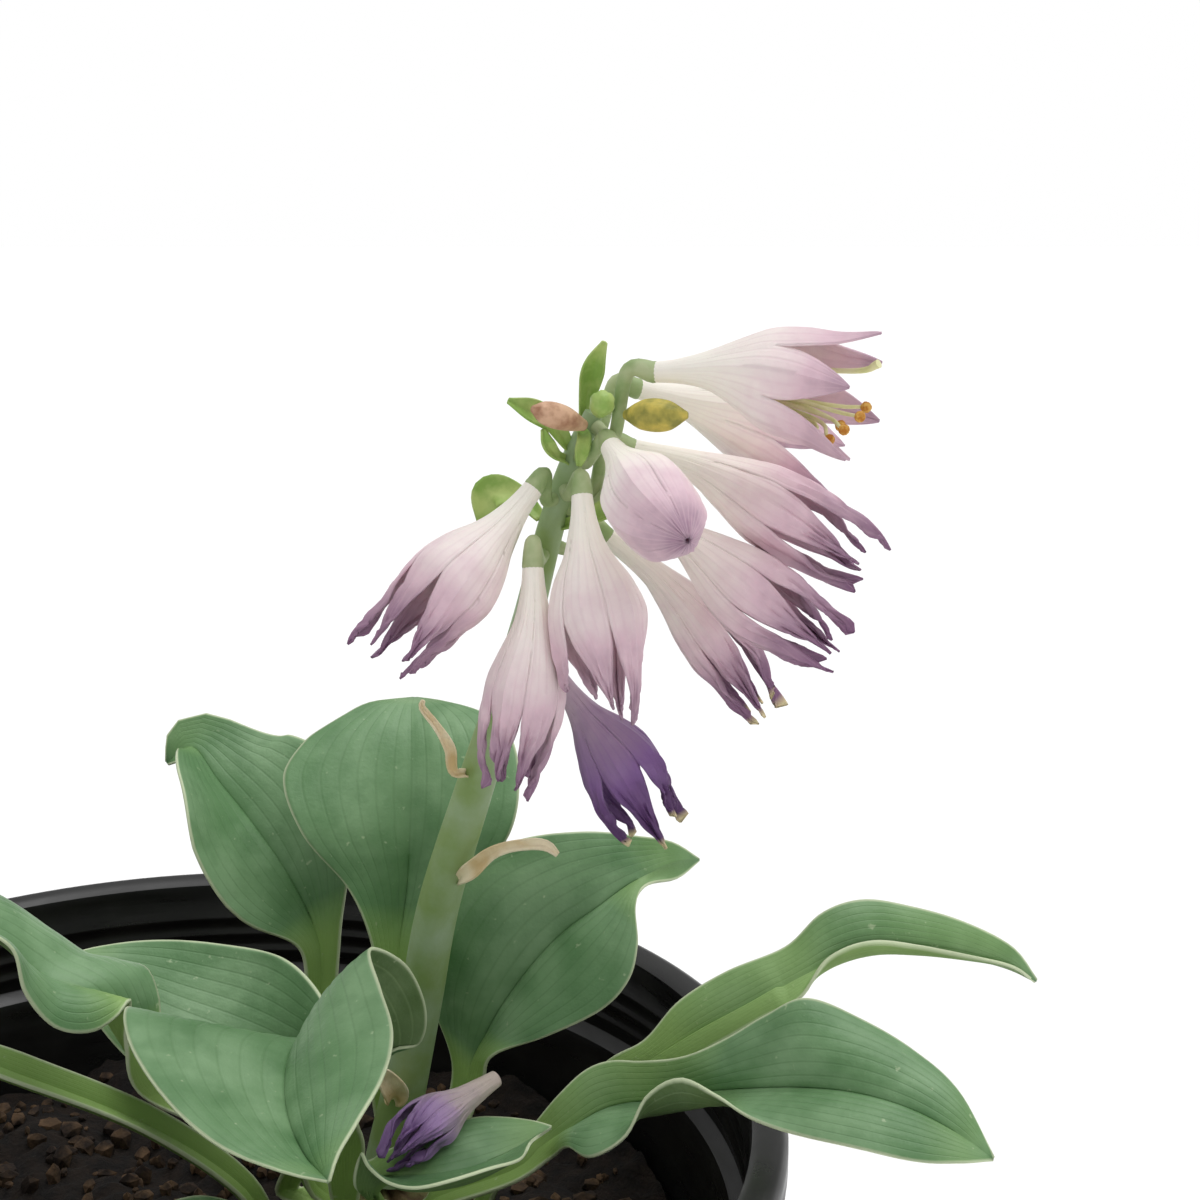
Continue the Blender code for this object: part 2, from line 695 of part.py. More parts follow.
def add_flower(name, design, finish):
    points = perianth_points(design, TEPAL_COLUMNS, FLOWER_ROWS)
    bm = bmesh.new()
    for petal in points:
        add_grid(bm, TEPAL_COLUMNS, FLOWER_ROWS, lambda i, j, petal=petal: petal[j, i])
    bmesh.ops.remove_doubles(bm, verts=bm.verts, dist=0.001)
    thicken(add_object(name, bm, finish), PETAL_THICKNESS)


def add_pedicel(name, design):
    """The short stalk between the stem and a flower, a gap short of each."""
    base, ahead = (np.array(point, float) for point in design["axis"][:2])
    along = unit(ahead - base)
    start, outward = leave_stem(design["stem_height"], base - stem_at(design["stem_height"])[0])
    end_radius = design["radii"][0] + 0.2
    reach = np.linalg.norm(base - start)
    stations = (
        (*start, 0.9),
        (*(start + outward * reach * 0.3), 1.0),
        (*(base - along * (GAP + reach * 0.3)), 1.3),
        (*(base - along * GAP), end_radius),
    )
    add_tube(name, stations, 8, "stem_green", 6)


def add_bract(name, design, finish):
    start, _ = leave_stem(design["stem_height"], design["toward"])
    start = start + 0.6 * BRACT_THICKNESS * unit(design["toward"])
    cup = design["cup"]
    stations = [(*start, BRACT_BASE_WIDTH), *design["stations"]]
    curve = smooth_curve([(x, y, z, width, width, cup, cup) for x, y, z, width in stations])
    rows = spread_rows(curve, BRACT_ROWS + 1)
    points = blade_points(rows, BRACT_FACES, (0, 0), (0, 0), BRACT_COLUMNS)
    bm = bmesh.new()
    add_grid(bm, BRACT_COLUMNS, BRACT_ROWS, lambda i, j: points[j, i])
    thicken(add_object(name, bm, finish), BRACT_THICKNESS)


def spin_profile(profile, segments):
    """A bmesh turned from an open profile of (radius, height) pairs that starts and ends on the axis."""
    bm = bmesh.new()
    verts = [bm.verts.new((radius, 0, height)) for radius, height in profile]
    edges = [bm.edges.new(pair) for pair in zip(verts, verts[1:])]
    bmesh.ops.spin(
        bm, geom=verts + edges, cent=(0, 0, 0), axis=(0, 0, 1), angle=2 * math.pi, steps=segments, use_merge=True
    )
    bmesh.ops.remove_doubles(bm, verts=bm.verts, dist=0.001)
    bmesh.ops.recalc_face_normals(bm, faces=bm.faces)
    return bm


def pot_radius(height):
    """Outer radius of the tapered wall below the collar."""
    top = POT_RIM_RADIUS - LIP_WIDTH - COLLAR_STEP
    return POT_BASE_RADIUS + (top - POT_BASE_RADIUS) * height / (POT_HEIGHT - COLLAR_HEIGHT)


def add_pot():
    shoulder = POT_HEIGHT - COLLAR_HEIGHT
    collar = POT_RIM_RADIUS - LIP_WIDTH
    outer_lip = POT_RIM_RADIUS
    step = pot_radius(shoulder)
    profile = (
        (0, 0),
        (POT_BASE_RADIUS - 2, 0),
        (POT_BASE_RADIUS, 2),
        (step, shoulder),
        (collar, shoulder + 2),
        (collar, POT_HEIGHT - LIP_DROP),
        (outer_lip - 0.6, POT_HEIGHT - LIP_DROP),
        (outer_lip, POT_HEIGHT - LIP_DROP + 0.8),
        (outer_lip, POT_HEIGHT - 1.6),
        (outer_lip - 1.2, POT_HEIGHT - 0.3),
        (outer_lip - 2.6, POT_HEIGHT),
        (collar - POT_WALL + 1.2, POT_HEIGHT - 0.4),
        (collar - POT_WALL, POT_HEIGHT - 1.8),
        (collar - POT_WALL, shoulder + 4),
        (step - POT_WALL, shoulder + 1),
        (POT_BASE_RADIUS - POT_WALL, POT_WALL),
        (0, POT_WALL),
    )
    pot = add_object("nursery_pot", spin_profile(profile, POT_SEGMENTS), "pot_black")
    cutter = bmesh.new()
    for number in range(DRAIN_HOLES):
        turn = 2 * math.pi * number / DRAIN_HOLES
        made = bmesh.ops.create_cone(
            cutter, cap_ends=True, segments=10, radius1=DRAIN_HOLE_RADIUS, radius2=DRAIN_HOLE_RADIUS, depth=12
        )
        centre = Vector((DRAIN_RING_RADIUS * math.cos(turn), DRAIN_RING_RADIUS * math.sin(turn), 0))
        bmesh.ops.translate(cutter, verts=made["verts"], vec=centre)
    drain = add_object("drain_hole_cutter", cutter, "pot_black")
    drain.hide_render = True
    drain.display_type = "WIRE"
    cut = pot.modifiers.new("drain_holes", "BOOLEAN")
    cut.object = drain


def soil_height(x, y):
    """Height of the mix's surface: gentle lumps that die away round the crown."""
    lumps = math.sin(x / 11) * math.cos(y / 9 + 0.6) + 0.6 * math.sin(x / 6.3 + y / 7.1)
    from_crown = math.hypot(x - CROWN_CENTRE[0], y - CROWN_CENTRE[1])
    fade = min(1.0, max(0.0, (from_crown - CROWN_FLAT) / 12))
    return SOIL_TOP + SOIL_BUMP * lumps * fade


def add_soil():
    shoulder = POT_HEIGHT - COLLAR_HEIGHT
    inset = POT_WALL + GAP
    edge_height = SOIL_TOP - 1
    edge = pot_radius(edge_height) - inset
    profile = [(0, POT_WALL + GAP), (pot_radius(POT_WALL) - inset - 1, POT_WALL + GAP)]
    profile += [(pot_radius(shoulder / 2) - inset - 0.2, shoulder / 2), (edge, edge_height)]
    profile += [(edge * (SOIL_RINGS - n) / SOIL_RINGS, SOIL_TOP) for n in range(1, SOIL_RINGS + 1)]
    bm = spin_profile(profile, POT_SEGMENTS)
    for vert in bm.verts:
        if vert.co.z > edge_height + 0.5:
            vert.co.z = soil_height(vert.co.x, vert.co.y)
    add_object("potting_mix", bm, "mix_brown")


def add_crown():
    turns = np.radians(np.linspace(0, 90, 7))
    profile = [(0, 0)] + [(CROWN_RADIUS * math.cos(a), CROWN_RADIUS * math.sin(a)) for a in turns[:-1]]
    profile.append((0, CROWN_RADIUS))
    bm = spin_profile(profile, 24)
    bmesh.ops.translate(bm, verts=bm.verts, vec=(*CROWN_CENTRE, SOIL_TOP + GAP))
    add_object("crown", bm, "crown_tan")


def add_stamens():
    """Six stamens and the style of the open flower, each from just inside the tube to its own tip."""
    design = FLOWERS["flower_top_open"]
    axis = spread_rows(smooth_curve(design["axis"]), 9)
    frames = frames_along(axis, FLOWER_FACES)
    wall = np.interp(3 / 8, np.linspace(0, 1, len(design["radii"])), design["radii"])
    clear = wall - PETAL_THICKNESS / 2 - GAP - FILAMENT_RADIUS - 0.25
    for number, tip in enumerate(STAMEN_TIPS):
        _, up, right = frames[3]
        turn = math.radians(30 * number - 120)
        start = axis[3, :3] + clear * (math.cos(turn) * right + math.sin(turn) * up)
        tip = np.array(tip)
        bend = axis[6, :3] * 0.6 + tip * 0.4 - np.array((0, 0, 1.5))
        neck = tip + unit(bend - tip) * ANTHER_LENGTH
        stations = (
            (*start, FILAMENT_RADIUS),
            (*bend, FILAMENT_RADIUS),
            (*neck, FILAMENT_RADIUS),
            (*(neck * 0.5 + tip * 0.5), ANTHER_RADIUS),
            (*tip, FILAMENT_RADIUS),
        )
        add_tube(f"open_flower_stamen_{number + 1}", stations, 6, "anther_brown", 9)
    tip = np.array(STYLE_TIP)
    stations = (
        (*axis[1, :3], 0.5),
        (*(axis[4, :3] + np.array((0, 0, 1.4))), 0.45),
        (*(axis[7, :3] * 0.5 + tip * 0.5 + np.array((0, 0, 1.2))), 0.45),
        (*tip, 0.7),
    )
    add_tube("open_flower_style", stations, 6, "bract_green", 8)


def main():
    for old in list(bpy.data.objects):
        bpy.data.objects.remove(old)
    add_pot()
    add_soil()
    add_crown()
    for name, design in LEAVES.items():
        add_leaf(name, design)
    add_tube("flower_stem", STEM, 12, "stem_green", 22)
    for name, design in FLOWERS.items():
        add_flower(name, design, "petal_purple" if name == "flower_purple" else "petal_lilac")
        add_pedicel(name.replace("flower", "pedicel"), design)
    add_flower("flower_fallen", FALLEN_FLOWER, "petal_purple")
    for name, design in BRACTS.items():
        add_bract(name, design, "bract_straw" if "dried" in name else "bract_green")
    for name, stations in BUDS.items():
        add_tube(name, stations, 8, "bract_green", 6)
    add_stamens()


main()
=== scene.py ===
# %% [markdown]
# # A potted hosta
# This lesson dresses the plain solids of a small hosta in a black nursery pot. The solids give every
# piece its place. Each leaf, flower and stalk is modelled again here as finely as the eye needs, in the
# same coordinates, and gets a finish made of nodes. Sizes are in millimetres until a mesh is finished.

# %% The frame
import math

import bmesh
import bpy
import numpy as np
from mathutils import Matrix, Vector, noise


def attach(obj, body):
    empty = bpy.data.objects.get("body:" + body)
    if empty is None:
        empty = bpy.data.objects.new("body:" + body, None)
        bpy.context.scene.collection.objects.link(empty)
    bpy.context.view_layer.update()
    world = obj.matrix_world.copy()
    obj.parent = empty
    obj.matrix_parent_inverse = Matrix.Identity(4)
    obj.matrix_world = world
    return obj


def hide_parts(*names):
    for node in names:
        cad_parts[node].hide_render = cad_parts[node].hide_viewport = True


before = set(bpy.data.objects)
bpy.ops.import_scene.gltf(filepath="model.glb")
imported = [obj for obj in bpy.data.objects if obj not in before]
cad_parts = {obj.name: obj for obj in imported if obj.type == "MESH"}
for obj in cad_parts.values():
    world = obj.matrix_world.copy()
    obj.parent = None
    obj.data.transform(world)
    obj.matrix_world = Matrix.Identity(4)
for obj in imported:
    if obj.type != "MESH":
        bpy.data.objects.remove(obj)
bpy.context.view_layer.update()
MM = 0.001

# %% [markdown]
# The viewer stands a little above the leaves and looks slightly down at the plant, so that the flowers
# are seen from the side and the leaves from above. The lens is about one and a half times as long as the
# sensor is wide, which keeps the pot from looking stretched. The camera comes first, so that every later
# step can be looked at.

# %% Camera
CAMERA_PLACE = (75.5, -301.4, 374.9)
CAMERA_DOWN = 13.9  # degrees below level
LENS = 57.09
SENSOR = 36
camera_data = bpy.data.cameras.new("camera")
camera_data.lens = LENS
camera_data.sensor_width = SENSOR
camera = bpy.data.objects.new("camera", camera_data)
camera.location = Vector(CAMERA_PLACE) * MM
camera.rotation_euler = (math.radians(90 - CAMERA_DOWN), 0, 0)
bpy.context.scene.collection.objects.link(camera)
bpy.context.scene.camera = camera
print("camera at", CAMERA_PLACE, "mm, looking", CAMERA_DOWN, "degrees down")

# %% [markdown]
# A finish is a material made of nodes, and so is the room's light. One function sets a node's sockets,
# either to a value or to another node's output, and one adds a node. A socket that is the same all over
# the surface is set directly.

# %% Node helpers


def set_inputs(finish, node, inputs):
    for socket, value in inputs.items():
        if isinstance(value, bpy.types.NodeSocket):
            finish.node_tree.links.new(value, node.inputs[socket])
        else:
            node.inputs[socket].default_value = value


def add_node(finish, kind, inputs=None, **settings):
    """Adds one node, with its settings, and with inputs given as values or as outputs to link."""
    node = finish.node_tree.nodes.new("ShaderNode" + kind)
    for setting, value in settings.items():
        setattr(node, setting, value)
    set_inputs(finish, node, inputs or {})
    return node


def new_finish(name, **sockets):
    """A new material with its Principled shader's sockets set."""
    finish = bpy.data.materials.new(name)
    finish.use_nodes = True
    shader = finish.node_tree.nodes["Principled BSDF"]
    set_inputs(finish, shader, {socket.replace("_", " "): value for socket, value in sockets.items()})
    return finish, shader


MIX_SHARE, MIX_FROM, MIX_TO, MIX_RESULT = 0, 6, 7, 2  # the colour sockets of a Mix node, by number
print("node helpers ready; a Mix node gives its colour at socket", MIX_RESULT)

# %% [markdown]
# Leaves need light that shows how they curve. So the room is a white studio whose ceiling is much brighter
# than its walls: faces that look up are bright, and folds and undersides stay dark. Up to just above eye
# level it is white, as a seamless paper sheet is, because that is what the viewer sees behind the plant.
# A soft sun lamp overhead adds to the ceiling and lights the floor evenly, however far off it is. All of
# it is colourless, so each finish shows its own colour.

# %% Light and floor
WALL_LIGHT = 0.42
CEILING_LIGHT = 1.05
SUN_POWER = 1.35
SUN_FROM = (0.35, 0.25, 1.0)
SUN_SPREAD = 50  # degrees
FLOOR_SIZE = 6000


def colour(hexes):
    """Linear red, green, blue and alpha of an sRGB colour such as "6C9266"."""
    shares = [int(hexes[i : i + 2], 16) / 255 for i in (0, 2, 4)]
    linear = [s / 12.92 if s <= 0.04045 else ((s + 0.055) / 1.055) ** 2.4 for s in shares]
    return (*linear, 1.0)


world = bpy.data.worlds.new("white_studio")
world.use_nodes = True
direction = add_node(world, "TexCoord").outputs["Generated"]
parts = add_node(world, "SeparateXYZ", {"Vector": direction})
# From -1 straight down and 1 overhead to a place on the ramp, whose middle is eye level
height = add_node(world, "MapRange", {"Value": parts.outputs["Z"], "From Min": -1.0})
brightness = add_node(world, "ValToRGB", {"Fac": height.outputs["Result"]})
set_inputs(world, world.node_tree.nodes["Background"], {"Color": brightness.outputs["Color"]})
bands = ((0.0, 1.0), (0.54, 1.0), (0.6, WALL_LIGHT), (0.78, WALL_LIGHT), (0.97, CEILING_LIGHT))
for number, (place, level) in enumerate(bands):
    elements = brightness.color_ramp.elements
    band = elements[number] if number < 2 else elements.new(place)
    band.position = place
    band.color = (level, level, level, 1)
bpy.context.scene.world = world
bpy.context.scene.view_settings.view_transform = "Standard"
sun_data = bpy.data.lights.new("soft_sun", "SUN")
sun_data.energy = SUN_POWER
sun_data.angle = math.radians(SUN_SPREAD)
sun = bpy.data.objects.new("soft_sun", sun_data)
sun.rotation_euler = Vector(SUN_FROM).to_track_quat("Z", "Y").to_euler()
bpy.context.scene.collection.objects.link(sun)
print("the sun lamp shines from", SUN_FROM)

# %% [markdown]
# Leaves, petals and bracts are all thin sheets that follow a curved midrib. So three helpers come first.
# One draws a smooth curve through a few stations, one spreads rows along it, and one gives each row
# its own three directions: along the midrib, out of the upper face, and to the right.

# %% Curves and sheets


def unit(vector):
    return np.asarray(vector, float) / np.linalg.norm(vector)


def smooth_curve(stations, steps=16):
    """Many points on a smooth curve through the stations, whose other columns are carried along."""
    stations = np.array(stations, float)
    ends = (2 * stations[0] - stations[1], 2 * stations[-1] - stations[-2])
    padded = np.vstack([ends[0], stations, ends[1]])
    points = []
    for first in range(len(stations) - 1):
        a, b, c, d = padded[first : first + 4]
        for u in np.arange(steps) / steps:
            cubic = 2 * b + (c - a) * u + (2 * a - 5 * b + 4 * c - d) * u**2
            points.append((cubic + (3 * b - a - 3 * c + d) * u**3) / 2)
    points.append(stations[-1])
    return np.array(points)


def spread_rows(curve, count, density=None, rails=(0,)):
    """count rows of a curve, evenly spaced along its rails, or closer together where density is high."""
    steps = sum(np.linalg.norm(np.diff(curve[:, k : k + 3], axis=0), axis=1) for k in rails) / len(rails)
    if density is not None:
        steps = steps * (density[1:] + density[:-1]) / 2
    run = np.concatenate([[0], np.cumsum(steps)])
    wanted = np.linspace(0, run[-1], count)
    return np.stack([np.interp(wanted, run, column) for column in curve.T], axis=1)


def frames_along(rows, faces):
    """Tangent, face and right-hand directions at each row. faces are spread evenly along it."""
    tangents = np.gradient(rows[:, :3], axis=0)
    places = np.linspace(0, 1, len(rows))
    knots = np.linspace(0, 1, len(faces))
    wanted = np.stack([np.interp(places, knots, column) for column in np.array(faces, float).T], axis=1)
    frames = []
    for tangent, face in zip(tangents, wanted):
        tangent = unit(tangent)
        right = unit(np.cross(tangent, face))
        frames.append((tangent, np.cross(right, tangent), right))
    return frames


def arc_across(width, lift, curl, share):
    """How far out and up a half-blade has come at a share of its width, starting at the angle lift."""
    if abs(curl) < 1e-3:
        return width * share * math.cos(lift), width * share * math.sin(lift)
    out = width * (math.sin(lift + curl * share) - math.sin(lift)) / curl
    up = width * (math.cos(lift) - math.cos(lift + curl * share)) / curl
    return out, up


def add_sheet(bm, columns, rows, points, values=None):
    """A grid moved to points[row, column], with the named values there stored on its vertices."""
    stored = bm.verts.layers.float
    layers = {name: stored.get(name) or stored.new(name) for name in values or {}}
    made = bmesh.ops.create_grid(bm, x_segments=columns, y_segments=rows, size=1)
    for vert in made["verts"]:
        column = round((vert.co.x + 1) / 2 * columns)
        row = round((vert.co.y + 1) / 2 * rows)
        vert.co = Vector(points[row, column])
        for name, layer in layers.items():
            vert[layer] = float(values[name][row, column])


def finish_piece(name, bm, finishes, nodes, angle=60):
    """Makes a bmesh, in millimetres, into one smooth piece that rides on the plant's only body."""
    bmesh.ops.scale(bm, vec=(MM, MM, MM), verts=bm.verts)
    mesh = bpy.data.meshes.new(name)
    bm.to_mesh(mesh)
    bm.free()
    for finish in finishes:
        mesh.materials.append(finish)
    mesh.shade_smooth()
    mesh.set_sharp_from_angle(angle=math.radians(angle))
    piece = bpy.data.objects.new(name, mesh)
    bpy.context.scene.collection.objects.link(piece)
    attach(piece, "root")
    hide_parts(*nodes)
    return piece


def thicken(piece, thickness, group=None, least_share=1.0, other_side=0):
    """A Solidify modifier about the sheet's middle. The back's finish is other_side places further on."""
    solidify = piece.modifiers.new("thickness", "SOLIDIFY")
    solidify.thickness = thickness * MM
    solidify.offset = 0
    solidify.use_rim = True
    solidify.material_offset = other_side
    if group:
        solidify.vertex_group = group
        solidify.thickness_vertex_group = least_share


def ripple(point, size, seed=0.0):
    """Smooth noise between about -1 and 1 whose lumps are about size millimetres across."""
    return noise.noise(Vector(point) / size + Vector((seed, seed * 1.7, seed * 0.6)))


print("sheet helpers ready")

# %% [markdown]
# A hosta leaf of the blue kind is green under a thin grey wax, called bloom. The wax scatters light, so the
# leaf is matt and greyish where the wax is whole, and greener where water or a thumb has worn it away. The
# veins run side by side from the stalk to the tip. They are sunk a little in the upper face. The edge
# is a thin pale line with no green in it.
#
# The sheet's own values say where a point is: "across" is -1 at the left edge and 1 at the right, "along"
# is 0 at the crown and 1 at the tip, "edge" is the distance to the edge in millimetres, and "stalk" is 1 on
# the stalk and 0 on the blade. A pattern on these values follows the leaf as it bends.

# %% The leaf's finishes
VEINS = 7  # on each side of the midrib
EDGE_LINE = 0.2  # millimetres, beside the pale rim itself
CLOUD_SIZE = 16  # millimetres, as are the next three: the wax's clouds
PATCH_SIZE = 9  # worn patches
SPECK_SIZE = 1.6  # pale scars
GRAIN_SIZE = 0.8  # the skin's own roughness, drawn coarser than it is so that it shows


def per_mm(size):
    """The scale that makes a pattern on Object coordinates repeat about every size millimetres."""
    return 1 / (size * MM)


def leaf_finish(name, blade, bloom, deep, stalk_green, edge_pale, vein_tone, vein_share, roughness):
    finish, shader = new_finish(name, Roughness=roughness, IOR=1.42)
    place = add_node(finish, "TexCoord").outputs["Object"]
    across = add_node(finish, "Attribute", attribute_name="across").outputs["Fac"]
    edge = add_node(finish, "Attribute", attribute_name="edge").outputs["Fac"]
    stalk = add_node(finish, "Attribute", attribute_name="stalk").outputs["Fac"]
    clouds = add_node(finish, "TexNoise", {"Vector": place, "Scale": per_mm(CLOUD_SIZE), "Detail": 4.0})
    cloud_share = add_node(
        finish, "MapRange", {"Value": clouds.outputs["Fac"], "From Min": 0.38, "From Max": 0.66}
    )
    patches = add_node(finish, "TexNoise", {"Vector": place, "Scale": per_mm(PATCH_SIZE), "Detail": 4.0})
    patch_share = add_node(
        finish,
        "MapRange",
        {"Value": patches.outputs["Fac"], "From Min": 0.46, "From Max": 0.72, "To Max": 0.6},
    )
    size_across = add_node(finish, "Math", {0: across}, operation="ABSOLUTE")
    count = add_node(finish, "Math", {0: size_across.outputs[0], 1: float(VEINS)}, operation="MULTIPLY")
    off_vein = add_node(finish, "Math", {0: count.outputs[0], 1: 0.5}, operation="PINGPONG")
    vein = add_node(
        finish,
        "MapRange",
        {"Value": off_vein.outputs[0], "From Max": 0.12, "To Min": 1.0, "To Max": 0.0},
    )
    vein_mix = add_node(finish, "Math", {0: vein.outputs["Result"], 1: vein_share}, operation="MULTIPLY")
    specks = add_node(finish, "TexNoise", {"Vector": place, "Scale": per_mm(SPECK_SIZE), "Detail": 2.0})
    speck_share = add_node(
        finish,
        "MapRange",
        {"Value": specks.outputs["Fac"], "From Min": 0.7, "From Max": 0.78, "To Max": 0.35},
    )
    wobble = add_node(
        finish, "Math", {0: patches.outputs["Fac"], 1: 0.3, 2: edge}, operation="MULTIPLY_ADD"
    )
    rim = {"Value": wobble.outputs[0], "From Min": EDGE_LINE, "From Max": EDGE_LINE + 0.45}
    edge_share = add_node(finish, "MapRange", {**rim, "To Min": 1.0, "To Max": 0.0})
    # Each layer is a share from 0 to 1 and the colour that it lays over the ones before it
    layers = (
        (cloud_share.outputs["Result"], bloom),
        (patch_share.outputs["Result"], deep),
        (vein_mix.outputs[0], vein_tone),
        (stalk, stalk_green),
        (speck_share.outputs["Result"], edge_pale),
        (edge_share.outputs["Result"], edge_pale),
    )
    tone = colour(blade)
    for share, shade in layers:
        blend = {MIX_SHARE: share, MIX_FROM: tone, MIX_TO: colour(shade)}
        tone = add_node(finish, "Mix", blend, data_type="RGBA").outputs[MIX_RESULT]
    grain = add_node(finish, "TexNoise", {"Vector": place, "Scale": per_mm(GRAIN_SIZE), "Detail": 3.0})
    sunk = {0: vein.outputs["Result"], 1: -0.6, 2: grain.outputs["Fac"]}
    relief = add_node(finish, "Math", sunk, operation="MULTIPLY_ADD")
    bump = add_node(
        finish, "Bump", {"Height": relief.outputs[0], "Strength": 0.35, "Distance": 0.25 * MM}
    )
    set_inputs(finish, shader, {"Base Color": tone, "Normal": bump.outputs["Normal"]})
    return finish


leaf_top = leaf_finish(
    "waxy_leaf_upper_face", "5F8758", "7C9F74", "44703F", "98BA66", "CBD8B2", "4A7040", 0.2, 0.45
)
# The lower face's colours are darkened to olive: painted shade for the side turned away from the overhead
# light.
leaf_back_painted_shade = leaf_finish(
    "matt_leaf_lower_face_painted_shade", "5E7847", "768E62", "486436", "84A656", "CBD8B2", "8CA474", 0.35, 0.6
)
print("leaf finishes:", leaf_top.name, leaf_back_painted_shade.name)

# %% [markdown]
# A hosta flower is a bell of six petals that are joined for their first half. The tube is nearly white.
# The colour comes in towards the tips as pale lilac, with fine darker lines that follow the petal. As a
# flower withers, its tips shrivel and turn deep violet, and their last millimetres dry to cream. The
# value "wither" says how far a flower has gone, and "along" is 0 at the pedicel and 1 at a petal's tip.

# %% The petals' finish
PETAL_LINES = 5


def petal_finish(name, tube, blush, lilac, violet, dry):
    finish, shader = new_finish(name, Roughness=0.55, IOR=1.4, Subsurface_Weight=0.12)
    shader.inputs["Subsurface Radius"].default_value = (0.8 * MM, 0.5 * MM, 0.6 * MM)
    shader.inputs["Subsurface Scale"].default_value = 1.0
    place = add_node(finish, "TexCoord").outputs["Object"]
    across = add_node(finish, "Attribute", attribute_name="across").outputs["Fac"]
    along = add_node(finish, "Attribute", attribute_name="along").outputs["Fac"]
    wither = add_node(finish, "Attribute", attribute_name="wither").outputs["Fac"]
    clouds = add_node(finish, "TexNoise", {"Vector": place, "Scale": per_mm(5), "Detail": 3.0})
    drift = add_node(finish, "Math", {0: clouds.outputs["Fac"], 1: 0.35, 2: along}, operation="MULTIPLY_ADD")
    shifted = add_node(finish, "Math", {0: drift.outputs[0], 1: 0.175}, operation="SUBTRACT")
    aged = add_node(finish, "Math", {0: wither, 1: 0.15, 2: shifted.outputs[0]}, operation="MULTIPLY_ADD")
    scaled = add_node(finish, "Math", {0: aged.outputs[0], 1: 0.8}, operation="MULTIPLY")
    tint = add_node(finish, "ValToRGB", {"Fac": scaled.outputs[0]})
    ramp = tint.color_ramp
    ramp.elements[0].position, ramp.elements[0].color = 0.24, colour(tube)
    ramp.elements[1].position, ramp.elements[1].color = 0.94, colour(violet)
    for position, shade in ((0.44, blush), (0.66, lilac)):
        ramp.elements.new(position).color = colour(shade)
    size_across = add_node(finish, "Math", {0: across}, operation="ABSOLUTE")
    count = add_node(finish, "Math", {0: size_across.outputs[0], 1: PETAL_LINES / 2}, operation="MULTIPLY")
    off_line = add_node(finish, "Math", {0: count.outputs[0], 1: 0.5}, operation="PINGPONG")
    line = add_node(
        finish, "MapRange", {"Value": off_line.outputs[0], "From Max": 0.22, "To Min": 1.0, "To Max": 0.0}
    )
    line_share = add_node(finish, "Math", {0: line.outputs["Result"], 1: along}, operation="MULTIPLY")
    soft_share = add_node(finish, "Math", {0: line_share.outputs[0], 1: 0.4}, operation="MULTIPLY")
    rot = add_node(finish, "Math", {0: wither, 1: along}, operation="MULTIPLY")
    rot_share = add_node(
        finish, "MapRange", {"Value": rot.outputs[0], "From Min": 0.62, "From Max": 0.95, "To Max": 0.85}
    )
    tip_share = add_node(
        finish, "MapRange", {"Value": rot.outputs[0], "From Min": 0.955, "From Max": 0.985}
    )
    layers = (
        (soft_share.outputs[0], lilac),
        (rot_share.outputs["Result"], violet),
        (tip_share.outputs["Result"], dry),
    )
    tone = tint.outputs["Color"]
    for share, shade in layers:
        blend = {MIX_SHARE: share, MIX_FROM: tone, MIX_TO: colour(shade)}
        tone = add_node(finish, "Mix", blend, data_type="RGBA").outputs[MIX_RESULT]
    grain = add_node(finish, "TexNoise", {"Vector": place, "Scale": per_mm(0.7), "Detail": 2.0})
    sunk = {0: line.outputs["Result"], 1: -1.0, 2: grain.outputs["Fac"]}
    relief = add_node(finish, "Math", sunk, operation="MULTIPLY_ADD")
    bump = add_node(finish, "Bump", {"Height": relief.outputs[0], "Strength": 0.3, "Distance": 0.2 * MM})
    set_inputs(finish, shader, {"Base Color": tone, "Normal": bump.outputs["Normal"]})
    return finish


petal = petal_finish("soft_petal", "FCF5EB", "F7E9E6", "E0C1CC", "80597C", "D8C79C")
purple_petal = petal_finish("withered_petal", "B6A0B0", "9A7FA0", "86629A", "5B3B68", "D8C79C")
fallen_petal = petal_finish("fallen_petal", "BDB0A6", "B0A0A4", "9C80AC", "6B4C80", "C9BFAE")
print("petal finishes:", petal.name, purple_petal.name, fallen_petal.name)

# %% [markdown]
# The smaller green parts share one recipe: a main colour, cloudy patches of a second colour, and a fine
# grain in the relief. Dried bracts are papery and tan. Soil and bark are the same recipe, coarser and
# rougher, with their dark brown taken down to near black as painted shade inside the pot. The numbers after
# the colours are the sizes, in millimetres, of the patches, of the grain and of its relief, and then the
# roughness.

# %% Patchy finishes


def patchy_finish(name, main, second, patch_mm, grain_mm, relief_mm, roughness, least=0.4, most=0.65):
    finish, shader = new_finish(name, Roughness=roughness, IOR=1.42)
    place = add_node(finish, "TexCoord").outputs["Object"]
    clouds = add_node(finish, "TexNoise", {"Vector": place, "Scale": per_mm(patch_mm), "Detail": 5.0})
    share = add_node(
        finish, "MapRange", {"Value": clouds.outputs["Fac"], "From Min": least, "From Max": most}
    )
    tone = add_node(
        finish,
        "Mix",
        {MIX_SHARE: share.outputs["Result"], MIX_FROM: colour(main), MIX_TO: colour(second)},
        data_type="RGBA",
    )
    grain = add_node(finish, "TexNoise", {"Vector": place, "Scale": per_mm(grain_mm), "Detail": 4.0})
    bump = add_node(
        finish, "Bump", {"Height": grain.outputs["Fac"], "Strength": 0.6, "Distance": relief_mm * MM}
    )
    set_inputs(finish, shader, {"Base Color": tone.outputs[MIX_RESULT], "Normal": bump.outputs["Normal"]})
    return finish


